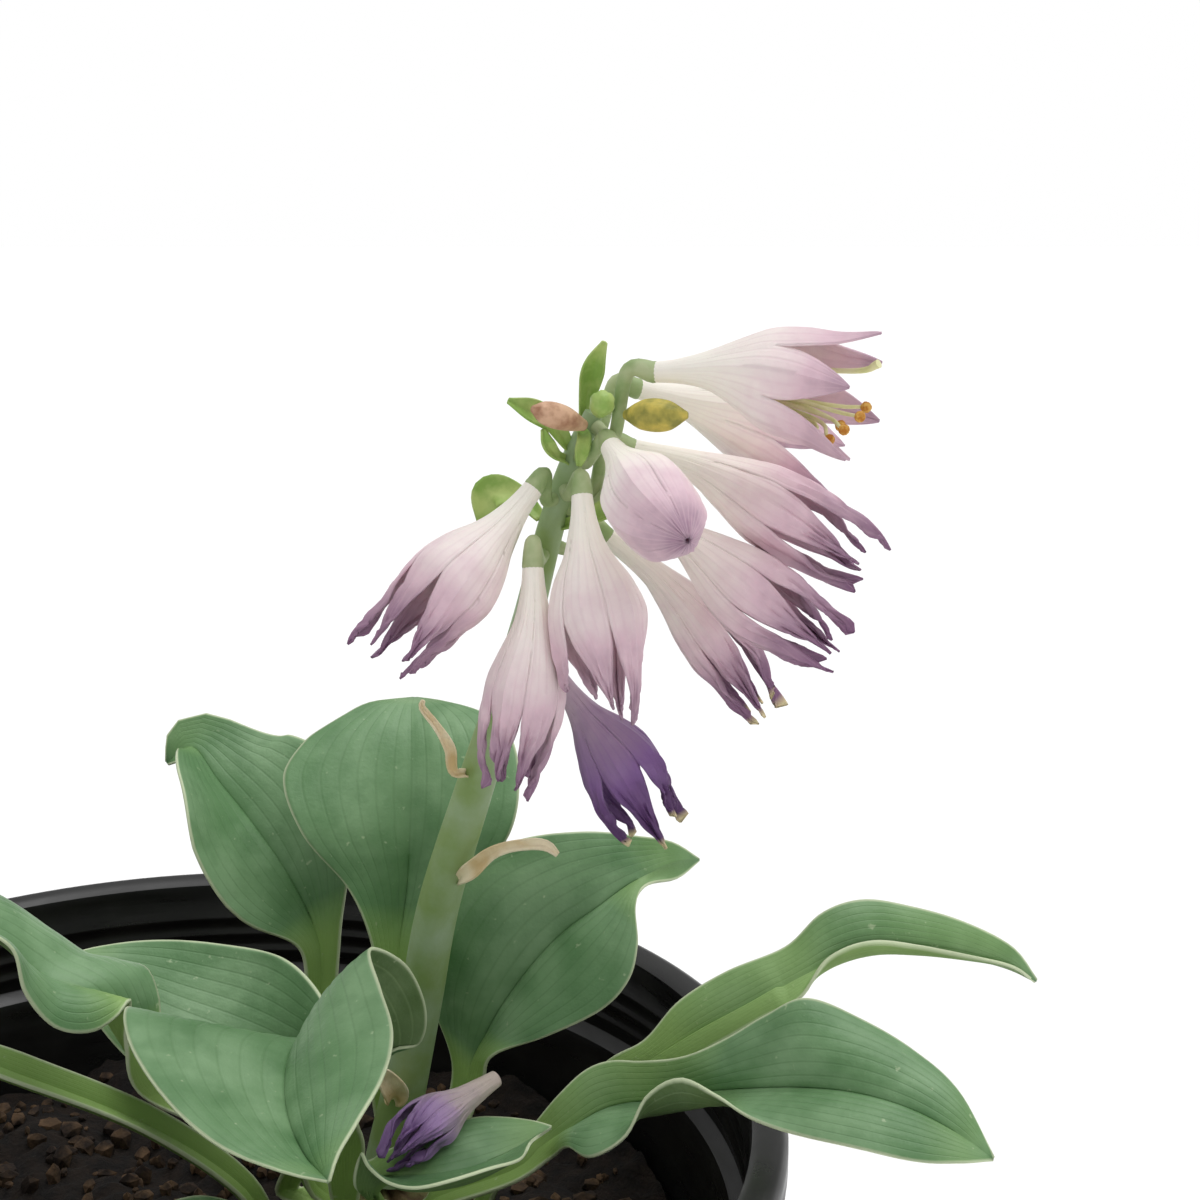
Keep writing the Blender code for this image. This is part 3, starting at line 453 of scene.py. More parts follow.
stem_green = patchy_finish("bloomed_stem", "869F60", "A3B896", 14, 1.2, 0.15, 0.55)
pedicel_green = patchy_finish("fresh_pedicel", "8FA66E", "B4BE94", 5, 0.8, 0.1, 0.55)
bract_green = patchy_finish("fresh_bract", "8DB055", "B9CC7C", 4, 0.8, 0.15, 0.5)
bract_straw = patchy_finish("dried_bract", "F0E3C4", "D8BF8E", 6, 0.7, 0.35, 0.8)
bud_yellow = patchy_finish("withered_bud", "CDBB5A", "8C8A40", 3, 0.7, 0.3, 0.6)
bud_peach = patchy_finish("dried_bud", "D9B193", "9A6B4E", 3, 0.7, 0.4, 0.7)
anther_brown = patchy_finish("pollen_anther", "B9772A", "E0B35C", 0.8, 0.4, 0.15, 0.8)
filament_cream = patchy_finish("cream_filament", "E9E6B4", "D7DB92", 3, 0.6, 0.05, 0.5)
crown_green = patchy_finish("crown_fibre", "7E8450", "5B4A30", 6, 0.8, 0.5, 0.8)
# The mix and its granules are dark peat and tan bark, darkened to near black as painted shade inside the
# pot.
mix_brown_and_painted_shade = patchy_finish("bark_and_peat_painted_shade", "0B0705", "1C130C", 4, 0.9, 0.9, 0.95)
chip_tan_and_painted_shade = patchy_finish("bark_granule_painted_shade", "20160F", "5A4530", 5, 0.8, 0.5, 0.9)
print("patchy finishes made, from", stem_green.name, "to", chip_tan_and_painted_shade.name)

# %% [markdown]
# Each leaf is one sheet from the crown to its tip. Its stalk is a channelled strip that widens into the
# blade. "root" is the leaf's way out of the crown, as a turn and a rise in degrees. "faces" says which way
# the upper face looks, at even steps from the stalk to the tip. A station is x, y and z on the midrib, the
# half-widths left and right of it, the angle each half is lifted by at the midrib, and how much further
# each bends by its edge. "lobe" sweeps the basal lobes back, left and right.
#
# A blade that folds or twists can't be told by widths and angles. Its stations end with the stalk, and it
# goes on as "rails": each row is a point of the midrib, of the left edge and of the right edge, and how far
# the left and right halves bulge between the midrib and the edge.

# %% The leaves' shapes
LEAVES = {
    "leaf_back_left": {
        "root": (118, 30),
        "faces": ((0.4, -0.8, 0.3), (0.2, -0.85, 0.5), (0.3, -0.6, 0.75)),
        "stations": (
            (23, 36, 193, 3.4, 3.4, 30, 30, 0, 0),
            (20.5, 43, 208, 3.8, 3.8, 35, 35, 0, 0),
            (20, 46, 220, 5.5, 5, 35, 35, 0, 0),
            (14.5, 50, 231, 15, 14, 30, 20, 0, 0),
            (7, 55, 240, 19, 20, 35, 12, 10, 0),
            (-1, 60, 248, 15, 17, 45, 8, 10, 0),
            (-7, 65, 253.5, 5, 8, 40, 10, 0, 0),
            (-12, 64, 250.5, 0.6, 0.6, 20, 20, 0, 0),
        ),
        "lobe": (3, 0),
    },
    "leaf_back_centre": {
        "root": (92, 50),
        "faces": ((0.1, -0.95, 0.3), (0.05, -0.9, 0.4), (0, -0.5, 0.85)),
        "stations": (
            (34, 33, 200, 3.4, 3.4, 35, 35, 0, 0),
            (36, 36, 213, 4, 4, 35, 35, 0, 0),
            (37, 37.5, 223, 6, 6, 30, 30, 0, 0),
            (38.5, 40, 234, 12.5, 12, 25, 25, -10, -10),
            (39, 43, 244, 21.5, 20, 20, 20, -10, -10),
            (39, 48, 253, 24.5, 21, 12, 12, -10, -10),
            (38.5, 54, 259.5, 20, 18.5, 8, 8, -10, -10),
            (38, 61, 263, 11, 11, 5, 5, -10, -10),
            (38, 68, 263, 0.6, 0.6, 5, 5, 0, 0),
        ),
    },
    "leaf_back_right": {
        "root": (12, 50),
        "faces": ((-0.4, -0.8, 0.4), (-0.4, -0.8, 0.4)),
        "stations": ((49.5, 20, 195, 3.2, 3.2, 35, 35, 0, 0),),
        "rails": (
            (51.5, 20.5, 204, 48, 21.5, 206, 54, 17, 204.5, 0, 0),
            (53.5, 20.5, 210, 45, 22, 217, 56, 14.5, 211.5, 0, 0),
            (57, 20.5, 217.5, 43.5, 22.5, 227, 66, 11, 217, 1, 1),
            (63, 21.5, 226, 45, 23, 237, 75.5, 11, 222, 1, 1.5),
            (69, 23, 232, 51, 25, 244.5, 80.5, 13, 227, 1, 1.5),
            (75, 24.5, 236, 61, 28, 248, 82.2, 16.5, 232.4, 1, 1),
            (80.5, 27.5, 239, 72.5, 30, 248.7, 82, 22, 237.4, 0.5, 0.5),
            (85.5, 31, 240.6, 82, 33, 246.8, 84, 27.5, 239.2, 0, -0.5),
            (90, 34.5, 241.2, 89, 36, 244.4, 90, 33, 238.2, 0, -0.3),
            (94.3, 38, 240, 94.3, 38, 240.3, 94.3, 38, 239.7, 0, 0),
        ),
    },
    "leaf_right_upper": {
        "root": (-14, 28),
        "faces": ((-0.5, -0.6, 0.6), (-0.5, -0.6, 0.6)),
        "stations": ((58, 12, 190, 3.2, 3.2, 30, 30, 0, 0), (71, 9, 202, 3.6, 3.6, 30, 30, 0, 0)),
        "rails": (
            (80, 7, 210.5, 77, 9, 213.5, 82, 4.5, 210.5, 0, 0),
            (86.3, 6, 216, 83.5, 8, 218, 88.5, 3.5, 214.5, 0, 0),
            (93.3, 6, 220.8, 89.5, 9, 224.8, 95.5, 3.5, 219, 0.5, 0),
            (102, 6, 225.6, 98, 10.5, 229.8, 103.5, 3, 224.2, 0.5, 0),
            (110.5, 7, 230.2, 108.5, 12, 233.8, 110.3, 3, 228.3, 0.5, 0),
            (117, 9, 232.6, 115, 14, 239.4, 115.3, 6.5, 234.3, 0.8, -1.2),
            (124, 11, 233.6, 122.5, 16, 241.1, 123, 9.7, 236, 1, -1.8),
            (132.5, 13, 232.6, 131.5, 17, 239.3, 132.3, 11.7, 234.3, 1, -1.2),
            (141.5, 15, 230.5, 141, 18, 236, 142, 13.7, 231.4, 0.8, -0.6),
            (149, 16.8, 227.6, 150, 18, 231.2, 150, 15.8, 228.3, 0.5, 0),
            (154.8, 18, 224.4, 154.9, 18, 224.9, 154.7, 18, 224.2, 0, 0),
        ),
    },
    "leaf_right_lower": {
        "root": (-38, 46),
        "faces": ((-0.4, -0.6, 0.7), (-0.4, -0.6, 0.7)),
        "stations": ((61, 1, 196, 3.4, 3.4, 35, 35, -10, 0),),
        "rails": (
            (66, -1, 201.5, 64, 2.5, 204.5, 67, -5, 202, 0, 0),
            (71, -3, 206.5, 68.5, 1, 211, 70, -11, 207.5, 0.5, 1),
            (76, -4, 210.5, 73, 1, 215.5, 74, -17, 208.9, 1, 1.5),
            (80, -5, 212.5, 77.5, -1, 218.4, 79.6, -17.2, 213, 1, 0),
            (84, -6, 213.7, 83, -4.5, 220.3, 83.3, -14.8, 219.5, 0.5, -3),
            (88.5, -7, 215, 89.5, -7.5, 222.6, 88.8, -14, 222.4, 0.5, -4),
            (94, -9, 217, 96.5, -8, 226, 94.5, -17, 220.7, 1, -2),
            (101, -12, 219, 103.5, -8, 230.5, 100, -22, 219.2, 1.5, 0),
            (109, -15.5, 221, 110, -8, 233.5, 108, -26, 218.4, 2, 1),
            (117, -19, 222, 118.5, -9, 230.6, 117, -30, 218.1, 2, 1),
            (125, -23, 221.5, 127, -13, 227, 126, -32, 217.1, 1.5, 1),
            (132, -27, 219.5, 133.5, -20, 223.2, 132.3, -32, 216.9, 1, 0.5),
            (137.8, -30, 216.4, 137.9, -30, 216.7, 137.7, -30, 216.1, 0, 0),
        ),
    },
    "leaf_front": {
        "root": (-112, 50),
        "faces": ((0.1, -0.9, 0.4), (0.1, -0.9, 0.4)),
        "stations": ((31, 1, 204, 3.4, 3.4, 30, 30, 10, -5),),
        "rails": (
            (34, -4, 215, 39, -7.5, 222.5, 29, -6, 214, 0, 0),
            (32.5, -8, 221, 45, -6.5, 224.5, 23, -6.5, 216.5, 0.5, 0.5),
            (30.5, -13.5, 227, 46.2, -7, 231.5, 14.5, -9, 221, 1, 0.5),
            (28.5, -19.5, 231.5, 43.5, -11, 241, 8, -14.5, 228, 1.5, 0.8),
            (27.3, -25.5, 233.6, 39, -20, 247.9, 3.5, -22, 237, 1.5, 0.8),
            (27, -32.5, 234, 41.7, -30, 245.8, 1.8, -30, 242.4, 1.5, 0.4),
            (28, -41, 233, 44.3, -40, 243.6, 5, -40, 241.4, 1.5, 0.4),
            (30.5, -49.5, 232.2, 43.8, -50, 240.9, 11.5, -50.5, 239, 1, 0.8),
            (33.8, -57, 232, 41.3, -57.5, 238.3, 21.5, -59.5, 235.6, 0.8, 0.8),
            (36.3, -61.5, 232.5, 39, -61.5, 235.8, 31, -62.7, 233.5, 0.3, 0.4),
            (37.7, -64, 232.8, 38, -64, 233, 37.4, -64, 232.8, 0, 0),
        ),
    },
    "leaf_left": {
        "root": (172, 30),
        "faces": ((0.3, -0.7, 0.6), (0.3, -0.7, 0.6)),
        "stations": ((20, 17, 191, 3.2, 3.2, 30, 30, 10, -10),),
        "rails": (
            (22.5, 12, 203, 19, 9, 204, 26, 12, 207, 0, 0),
            (20.5, 10, 210, 15, 3, 209, 27.5, 5.5, 223, 1, -2),
            (14, 9, 214.5, 8, 0, 211, 24.5, 12, 226.3, 1, -2),
            (5, 9, 218.5, 0, 0, 213, 17, 19, 228.9, 1, -2),
            (-3.5, 10, 222, -7, 3, 216.5, 5, 22, 229.9, 1, -1),
            (-11, 12, 225.5, -13, 7, 221, -6, 22, 230.6, 0.5, -0.5),
            (-17.5, 14, 228.5, -18, 11, 226, -15.5, 19.5, 230.5, 0, 0),
            (-22, 15, 230, -22, 15, 229.8, -22, 15, 230.3, 0, 0),
        ),
    },
    "leaf_far_left": {
        "root": (208, 50),
        "faces": ((0.4, -0.5, 0.75), (0.4, -0.5, 0.75)),
        "stations": ((19, 7, 198, 3.2, 3.2, 30, 30, 10, -10), (9, 2, 205, 3.6, 3.6, 30, 30, 10, -10)),
        "rails": (
            (0, -3, 214, -3, -6, 214.5, 2.5, -0.5, 217, 0, 0),
            (-4, -7, 224, -4, -9.5, 226, 0.5, -2.5, 226.5, 0, 0),
            (-6.5, -10.5, 232, -2, -12, 235, -0.3, -1, 231, 0.5, 0.5),
            (-9, -12.5, 236.5, -3.5, -16, 234, -2.5, 1.5, 234.6, 1.5, 1),
            (-12, -13.5, 238.5, -7, -19.3, 232.9, -7, 4, 234.6, 2, 2),
            (-15.5, -14, 240.3, -12, -21.7, 235, -13, 5, 234, 2, 3),
            (-18.5, -14.5, 243, -15.4, -24, 242, -19, 3, 240, 1.5, 3),
            (-22, -16, 247.5, -16.5, -26, 251, -25, -2, 249, 0.5, 2),
            (-28, -18.5, 252, -23, -29, 256, -32, -8, 256, 0, 1),
            (-37, -22.5, 254, -33, -34, 257.5, -42, -13, 258, 0, 1),
            (-48, -28, 253, -45, -37, 255.5, -52, -21, 256, 0, 0),
            (-60, -34, 248.5, -58, -38, 250, -62, -31, 250.5, 0, 0),
            (-68, -38, 244, -68, -38, 244.3, -68, -38, 244.3, 0, 0),
        ),
    },
    "leaf_low_left": {
        "root": (203, 13),
        "faces": ((0.3, -0.3, 0.9), (0.3, -0.3, 0.9), (-0.3, -0.2, 0.9)),
        "stations": (
            (10, 8, 188, 3.6, 3.6, 35, 35, 0, 0),
            (-5, 3, 203, 4.2, 4.2, 40, 40, 0, 0),
            (-24, -5, 217, 4.4, 4.4, 40, 40, 0, 0),
            (-42, -11, 228, 4.8, 4.8, 35, 35, 0, 0),
            (-60, -18, 235, 17, 17, 25, 25, 0, 0),
            (-78, -25, 237, 21, 21, 15, 15, 0, 0),
            (-95, -32, 232, 14, 14, 10, 10, 0, 0),
            (-108, -38, 224, 0.6, 0.6, 0, 0, 0, 0),
        ),
        "lobe": (4, 4),
    },
    "leaf_front_low": {
        "root": (-98, 8),
        "faces": ((0.1, -0.6, 0.8), (0.0, -0.2, 1.0), (0.0, 0.1, 1.0)),
        "stations": (
            (31, -6, 180, 3.4, 3.4, 30, 30, 0, 0),
            (29, -18, 189, 4, 4, 30, 30, 0, 0),
            (27, -30, 198, 7, 7, 30, 30, 0, 0),
            (25, -42, 206, 17, 17, 25, 25, 0, 0),
            (24, -55, 211, 19, 19, 20, 20, 0, 0),
            (23, -67, 210, 16, 16, 15, 15, 0, 0),
            (23, -78, 206, 9, 9, 5, 5, 0, 0),
            (23, -87, 200, 0.6, 0.6, 0, 0, 0, 0),
        ),
        "lobe": (5, 5),
    },
    "leaf_front_small": {
        "root": (-62, 30),
        "faces": ((0.6, -0.5, 0.6), (0.6, -0.5, 0.6)),
        "stations": ((42, -4, 187, 2.8, 2.8, 30, 30, 10, 10), (41, -18, 198, 3, 3, 30, 30, 10, 10)),
        "rails": (
            (39.5, -30, 210, 38, -28, 213, 37.5, -35, 214, 0, 0),
            (41, -33.5, 214.5, 40, -29.5, 216.5, 38.8, -38.3, 222.5, 0, -0.5),
            (43.8, -35, 216, 43, -29, 218, 40.5, -42.5, 222.8, 0, -1),
            (47.5, -35, 216.5, 47, -27, 219, 43.8, -46, 222.3, 0, -1.5),
            (51.7, -34.5, 216.8, 51.3, -25, 219.8, 48.2, -47.7, 222.4, 0.5, -1.5),
            (56, -33, 217, 55.8, -23, 220, 53.7, -47.2, 223.1, 0.5, -1.5),
            (60, -30.5, 217.3, 60.2, -22, 219.3, 59, -43.5, 222.6, 0.5, -1),
            (63.5, -27.8, 217.8, 64, -22, 218.7, 63.2, -37.5, 220.8, 0.3, 0),
            (65.8, -25.2, 218.1, 66.3, -22.6, 218.5, 64.6, -30.2, 219.6, 0, 0),
            (67.6, -23.5, 218.3, 67.7, -23.3, 218.4, 67.5, -23.7, 218.2, 0, 0),
        ),
    },
    "leaf_front_right": {
        "root": (-75, 8),
        "faces": ((-0.1, -0.6, 0.8), (0.0, -0.3, 0.95), (0.0, 0.0, 1.0)),
        "stations": (
            (41, -6, 179, 3.2, 3.2, 30, 30, 0, 0),
            (46, -17, 184, 3.6, 3.6, 30, 30, 0, 0),
            (51, -27, 190, 8, 8, 30, 30, 0, 0),
            (55, -37, 195, 14, 14, 25, 25, 0, 0),
            (59, -47, 197, 15, 15, 15, 15, 0, 0),
            (63, -56, 196, 10, 10, 10, 10, 0, 0),
            (66, -63, 193, 0.6, 0.6, 0, 0, 0, 0),
        ),
        "lobe": (4, 4),
    },
}
print(len(LEAVES), "leaf shapes,", sum("rails" in design for design in LEAVES.values()), "of them by rails")

# %% [markdown]
# A fine grid follows the stations and rails. Between the veins the blade swells a little, and its edge
# waves slowly, because the edge grows faster than the middle. Solidify then gives the sheet its
# thickness, thin at the blade and thick at the stalk, with the lower face's finish on the back. That finish
# is darkened to olive as painted shade.

# %% Building a leaf
SOIL_TOP = 170.0
GAP = 0.35  # clear space between the crown and what stands on it
CROWN_CENTRE = (35.0, 18.0)
CROWN_RADIUS = 14.0
LEAF_COLUMNS = 42
LEAF_ROWS = 110
STALK_THICKNESS = 2.2
BLADE_THICKNESS = 0.5
SWELL = 0.16
EDGE_WAVE = 0.7
WAVE_LENGTH = 16
CURVE_STEPS = 24


def crown_point(azimuth, elevation, distance):
    """A point that far from the middle of the crown's dome."""
    azimuth, elevation = math.radians(azimuth), math.radians(elevation)
    flat = distance * math.cos(elevation)
    return (
        CROWN_CENTRE[0] + flat * math.cos(azimuth),
        CROWN_CENTRE[1] + flat * math.sin(azimuth),
        SOIL_TOP + GAP + distance * math.sin(elevation),
    )


def leaf_rows(design):
    """Rows of midrib, left edge, right edge, and how far each half bulges between midrib and edge."""
    root = design["root"]
    stations = [
        (*crown_point(*root, CROWN_RADIUS + 1.5 * GAP), 2.0, 2.0, 20, 20, 0, 0),
        (*crown_point(*root, CROWN_RADIUS + 4), 2.2, 2.2, 20, 20, 0, 0),
        (*crown_point(*root, CROWN_RADIUS + 8), 2.5, 2.5, 25, 25, 0, 0),
        *design["stations"],
    ]
    blade = design.get("rails", ())
    if not blade:
        curve = smooth_curve(stations, CURVE_STEPS)
        curve[:, 3:5] = np.maximum(curve[:, 3:5], 0.5)
        density = 0.35 + curve[:, 3] / curve[:, 3].max()
        curve = spread_rows(curve, LEAF_ROWS + 1, density)
        return edges_of(curve, design["faces"])
    # The last row only tells the stalk which way to go on, and the rails take its place
    stations = [*stations, (*blade[0][:3], 4, 4, 30, 30, 0, 0)]
    stalk = edges_of(np.array(stations, float), design["faces"][:1] * 2)
    curve = smooth_curve([*stalk[:-1], *blade], CURVE_STEPS)
    density = 0.3 + np.linalg.norm(curve[:, 3:6] - curve[:, 6:9], axis=1) / 45
    return spread_rows(curve, LEAF_ROWS + 1, density, (0, 3, 6))


def edges_of(curve, faces):
    """Turns rows of midrib, half-widths, lifts and curls into rows of midrib, edges and bulges."""
    rows = []
    for row, (_, face, right) in zip(curve, frames_along(curve, faces)):
        edges, bulges = [], []
        for side in (0, 1):
            width, lift, curl = row[3 + side], math.radians(row[5 + side]), math.radians(row[7 + side])
            out, up = arc_across(width, lift, curl, 1)
            edges.append(row[:3] + (2 * side - 1) * out * right + up * face)
            bulges.append(-width * curl / 8)
        rows.append([*row[:3], *edges[0], *edges[1], *bulges])
    return np.array(rows)


def leaf_points(design, seed):
    """The leaf's points by row and column, with each one's values for its finish."""
    rows = leaf_rows(design)
    tangents = np.gradient(rows[:, :3], axis=0)
    widths = [np.linalg.norm(rows[:, k : k + 3] - rows[:, :3], axis=1) for k in (3, 6)]
    widest_row = int(widths[0].argmax())
    lobe = design.get("lobe", (0, 0))
    shape = (LEAF_ROWS + 1, LEAF_COLUMNS + 1)
    points = np.zeros((*shape, 3))
    values = {name: np.zeros(shape) for name in ("across", "along", "edge", "stalk")}
    for j, row in enumerate(rows):
        tangent, middle = unit(tangents[j]), row[:3]
        for i in range(LEAF_COLUMNS + 1):
            across = 2 * i / LEAF_COLUMNS - 1
            side = int(across > 0)
            share, width = abs(across), widths[side][j]
            reach = row[3 + 3 * side : 6 + 3 * side] - middle
            face = unit(np.cross(reach if side else -reach, tangent))
            before_widest = max(0, 1 - j / widest_row)
            sweep = lobe[side] * across**2 * max(0, width / widths[side].max() - 0.25) * 4 * before_widest
            blade = min(1.0, max(0.0, (width - 5) / 6))
            swell = SWELL * blade * math.sin(math.pi * VEINS * share) ** 2 * (1 - share**6)
            point = middle + share * reach
            up = 4 * share * (1 - share) * row[9 + side]
            wave = EDGE_WAVE * blade * share**4 * ripple(point, WAVE_LENGTH, seed)
            points[j, i] = point + (up + swell + wave) * face - sweep * tangent
            values["across"][j, i] = across
            values["along"][j, i] = j / LEAF_ROWS
            values["edge"][j, i] = (1 - share) * width
            values["stalk"][j, i] = min(1.0, max(0.0, (10 - width) / 5)) * (1 - j / LEAF_ROWS) ** 0.5
    return points, values


def add_leaf(name, design, seed):
    points, values = leaf_points(design, seed)
    bm = bmesh.new()
    add_sheet(bm, LEAF_COLUMNS, LEAF_ROWS, points, values)
    piece = finish_piece(name + "_blade", bm, (leaf_top, leaf_back_painted_shade), (name,))
    # The share of the full thickness: 1 on the narrow stalk, 0 on the blade and at every edge
    group = piece.vertex_groups.new(name="thick")
    for number, value in enumerate(piece.data.attributes["edge"].data):
        across = abs(piece.data.attributes["across"].data[number].value)
        width = value.value / max(0.02, 1 - across)
        share = min(1.0, max(0.0, (9 - width) / 5)) * (1 - across**2)
        along = piece.data.attributes["along"].data[number].value
        group.add([number], share if along < 0.6 else 0.0, "REPLACE")
    thicken(piece, STALK_THICKNESS, "thick", BLADE_THICKNESS / STALK_THICKNESS, other_side=1)


for seed, (name, design) in enumerate(LEAVES.items()):
    add_leaf(name, design, seed * 3.1)
print(len(LEAVES), "leaves, of", LEAF_COLUMNS * LEAF_ROWS, "quads each before thickening")

# %% [markdown]
# The flower stem is one round stalk that narrows towards its top. Pedicels are
# the short stalks between it and the flowers. All of them are circles swept along a smooth curve.

# %% Stalks
STEM_SIDES = 28
STEM = (
    (35.3, 18.0, 184.9, 4.5),
    (37.0, 18.0, 193.0, 4.3),
    (39.0, 17.5, 202.0, 4.1),
    (43.0, 15.0, 222.0, 3.9),
    (47.0, 12.0, 242.0, 3.7),
    (54.0, 8.0, 265.0, 3.3),
    (60.0, 5.0, 284.0, 2.8),
    (63.5, 3.0, 296.0, 2.5),
    (67.5, 1.5, 312.0, 2.2),
    (71.0, 0.5, 323.0, 1.9),
    (74.5, 0.0, 331.0, 1.5),
)


def add_tube(bm, stations, sides, count, swell=None):
    """A round tube in bm, closed at both ends, through stations of x, y, z and radius.

    swell takes the share along the tube and the turn round it, and gives a factor on the radius."""
    rows = spread_rows(smooth_curve(stations), count)
    tangents = np.gradient(rows[:, :3], axis=0)
    face = (0.3, -1.0, 0.2) if abs(unit(tangents[0])[1]) < 0.9 else (1.0, 0.0, 0.3)
    frames = frames_along(rows, (face, face))
    rings, loops = [], []
    for number, (row, (_, up, right)) in enumerate(zip(rows, frames)):
        ring = bmesh.ops.create_circle(bm, segments=sides, radius=1)["verts"]
        for vert in ring:
            turn = math.atan2(vert.co.y, vert.co.x)
            radius = row[3] * (swell(number / (count - 1), turn) if swell else 1)
            vert.co = Vector(row[:3] + radius * (vert.co.x * right + vert.co.y * up))
        rings.append(ring)
        loops.append(list(dict.fromkeys(edge for vert in ring for edge in vert.link_edges)))
    for low, high in zip(loops, loops[1:]):
        bmesh.ops.bridge_loops(bm, edges=low + high)
    for ring in (rings[0], rings[-1]):
        bmesh.ops.contextual_create(bm, geom=ring)


def stem_at(height):
    """Middle, direction and radius of the flower stem at a height."""
    curve = smooth_curve(STEM)
    place = [np.interp(height, curve[:, 2], column) for column in curve.T]
    ahead = [np.interp(height + 1, curve[:, 2], column) for column in curve.T[:3]]
    return np.array(place[:3]), unit(np.array(ahead) - place[:3]), place[3]


def leave_stem(height, toward):
    """A point on the stem's skin on the side that faces toward, and the outward direction there."""
    middle, along, radius = stem_at(height)
    outward = np.asarray(toward, float)
    outward = unit(outward - (outward @ along) * along)
    return middle + (radius - 0.3) * outward, outward


bm = bmesh.new()
add_tube(bm, STEM, STEM_SIDES, 120, lambda share, turn: 1 + 0.03 * math.sin(3 * turn + 6 * share))
bmesh.ops.recalc_face_normals(bm, faces=bm.faces)
finish_piece("flower_stem_stalk", bm, (stem_green,), ("flower_stem",))
print("stem made,", STEM[-1][2] - STEM[0][2], "mm tall")

# %% [markdown]
# Each flower's table gives the height on the stem where its pedicel starts, the points of its middle
# line, its radii at even steps, how far along the petals part, and how far each petal tip leans out and
# reaches forward. The bud's petals never part. One old flower has fallen and lies on a leaf.

# %% The flowers' shapes
OPEN_BELL = (1.4, 1.8, 2.9, 5.0, 7.3, 8.2, 8.2, 8.8)
WILTED_BELL = (1.4, 1.7, 2.6, 4.6, 6.3, 6.4, 5.0, 3.0)
SLIM_WILTED = (1.3, 1.6, 2.2, 3.6, 5.0, 5.2, 4.2, 2.8)
BALLOON_BUD = (1.5, 2.2, 3.8, 5.6, 6.4, 6.0, 4.4, 0.4)

FLOWERS = {
    "flower_top_open": {
        "stem_height": 329.5,
        "axis": ((83.5, -4, 338), (94, -7, 338.5), (105, -11, 337), (114, -15, 335)),
        "radii": OPEN_BELL,
        "split": 0.62,
        "lean": (2.5, 1.0, 2.5, 0.5, 2.0, 1.0),
        "reach": (3, 1, 2, 1, 2, 1),
    },
    "flower_top_rear": {
        "stem_height": 328.5,
        "axis": ((81.0, 7.5, 334), (92, 10.5, 331), (103, 14, 328), (113, 16, 323.5)),
        "radii": OPEN_BELL,
        "split": 0.62,
        "lean": (0.5, -1, 0, -2, 0, 1),
        "reach": (2, 1, 1, 0, 2, 1),
    },
    "flower_right_wilted": {
        "stem_height": 318.0,
        "axis": ((80, 2.5, 325), (92, 2.5, 321.5), (105, 0, 314.5), (117, -3, 307)),
        "radii": WILTED_BELL,
        "split": 0.6,
        "lean": (1, 0, 2, -0.5, 1, 0),
        "reach": (2, 0, 3, 0, 1, 2),
    },
    "flower_striped_bud": {
        "stem_height": 324.5,
        "axis": ((77, -7, 327), (80.5, -16, 323.5), (84, -26, 320), (88, -36, 318)),
        "radii": BALLOON_BUD,
        "split": 1.0,
        "lean": (0, 0, 0, 0, 0, 0),
        "reach": (0, 0, 0, 0, 0, 0),
    },
    "flower_right_middle": {
        "stem_height": 315.7,
        "axis": ((80, 0, 317), (90, -3.5, 310.5), (101, -7, 302), (111.5, -10, 295)),
        "radii": WILTED_BELL,
        "split": 0.58,
        "lean": (1, 0, 2, 0.5, 0, -0.5),
        "reach": (3, 1, 2, 0, 2, 1),
    },
    "flower_right_low": {
        "stem_height": 309.0,
        "axis": ((76, 6.5, 310), (85.5, 7.5, 302), (95, 8, 291), (103, 8, 280)),
        "radii": SLIM_WILTED,
        "split": 0.6,
        "lean": (0, 1, -0.5, 0, 1.5, 0),
        "reach": (2, 1, 0, 3, 1, 0),
    },
    "flower_centre_pink": {
        "stem_height": 319.0,
        "axis": ((72.6, -8, 320), (73.5, -12.5, 311), (75.5, -16.5, 300), (78, -20, 288)),
        "radii": (1.4, 1.9, 3.2, 5.6, 7.0, 6.6, 5.2, 3.6),
        "split": 0.58,
        "lean": (3.5, 0, 0, -1, 0, 1.5),
        "reach": (-4, 0, 3, 1, 2, -2),
    },
    "flower_stem_front": {
        "stem_height": 308.0,
        "axis": ((65, -10.5, 309), (65, -14, 299), (63.5, -17, 287), (61.5, -19, 276)),
        "radii": (1.4, 1.8, 2.8, 4.4, 5.6, 5.8, 5.0, 3.6),
        "split": 0.6,
        "lean": (0, 1, 0, 0, 1, 0),
        "reach": (2, 0, 1, 3, 0, 1),
    },
    "flower_left": {
        "stem_height": 317.0,
        "axis": ((65.5, -5.5, 320.5), (59.5, -9, 313.5), (51, -13, 304.5), (43, -17.5, 296)),
        "radii": (1.4, 1.9, 3.2, 5.4, 6.8, 6.4, 5.2, 4.0),
        "split": 0.58,
        "lean": (1.5, 0, 2, 0, 1, 0),
        "reach": (3, 1, 0, 2, 0, 2),
    },
    "flower_purple": {
        "stem_height": 292.0,
        "axis": ((68, 2, 287.5), (73, 2, 280), (79, 2, 271), (84.5, 1, 261)),
        "radii": (1.3, 1.6, 2.6, 4.6, 6.2, 6.4, 5.4, 4.2),
        "split": 0.56,
        "lean": (1, 2, 0, 1, 0, 1.5),
        "reach": (1, 3, 0, 2, 0, 1),
    },
}

FALLEN_FLOWER = {
    "axis": ((58.5, -19, 224.6), (53.5, -24, 223.5), (49, -29.5, 222.8), (43.8, -36, 220.6)),
    "radii": (1.2, 1.5, 1.9, 2.7, 3.7, 4.0, 3.2, 2.0),
    "split": 0.6,
    "lean": (0, 1, 0, 1, 0, 0),
    "reach": (2, 0, 1, 0, 2, 1),
}
print(len(FLOWERS), "flowers on the stem and a fallen one")

# %% [markdown]
# A petal is a grid bent round the flower's middle line. Below the split its edges touch the next petal's
# edges, and the six make one tube. Past it, each petal narrows to a point, keeps a keel down its middle
# and, where the flower has withered, crumples.

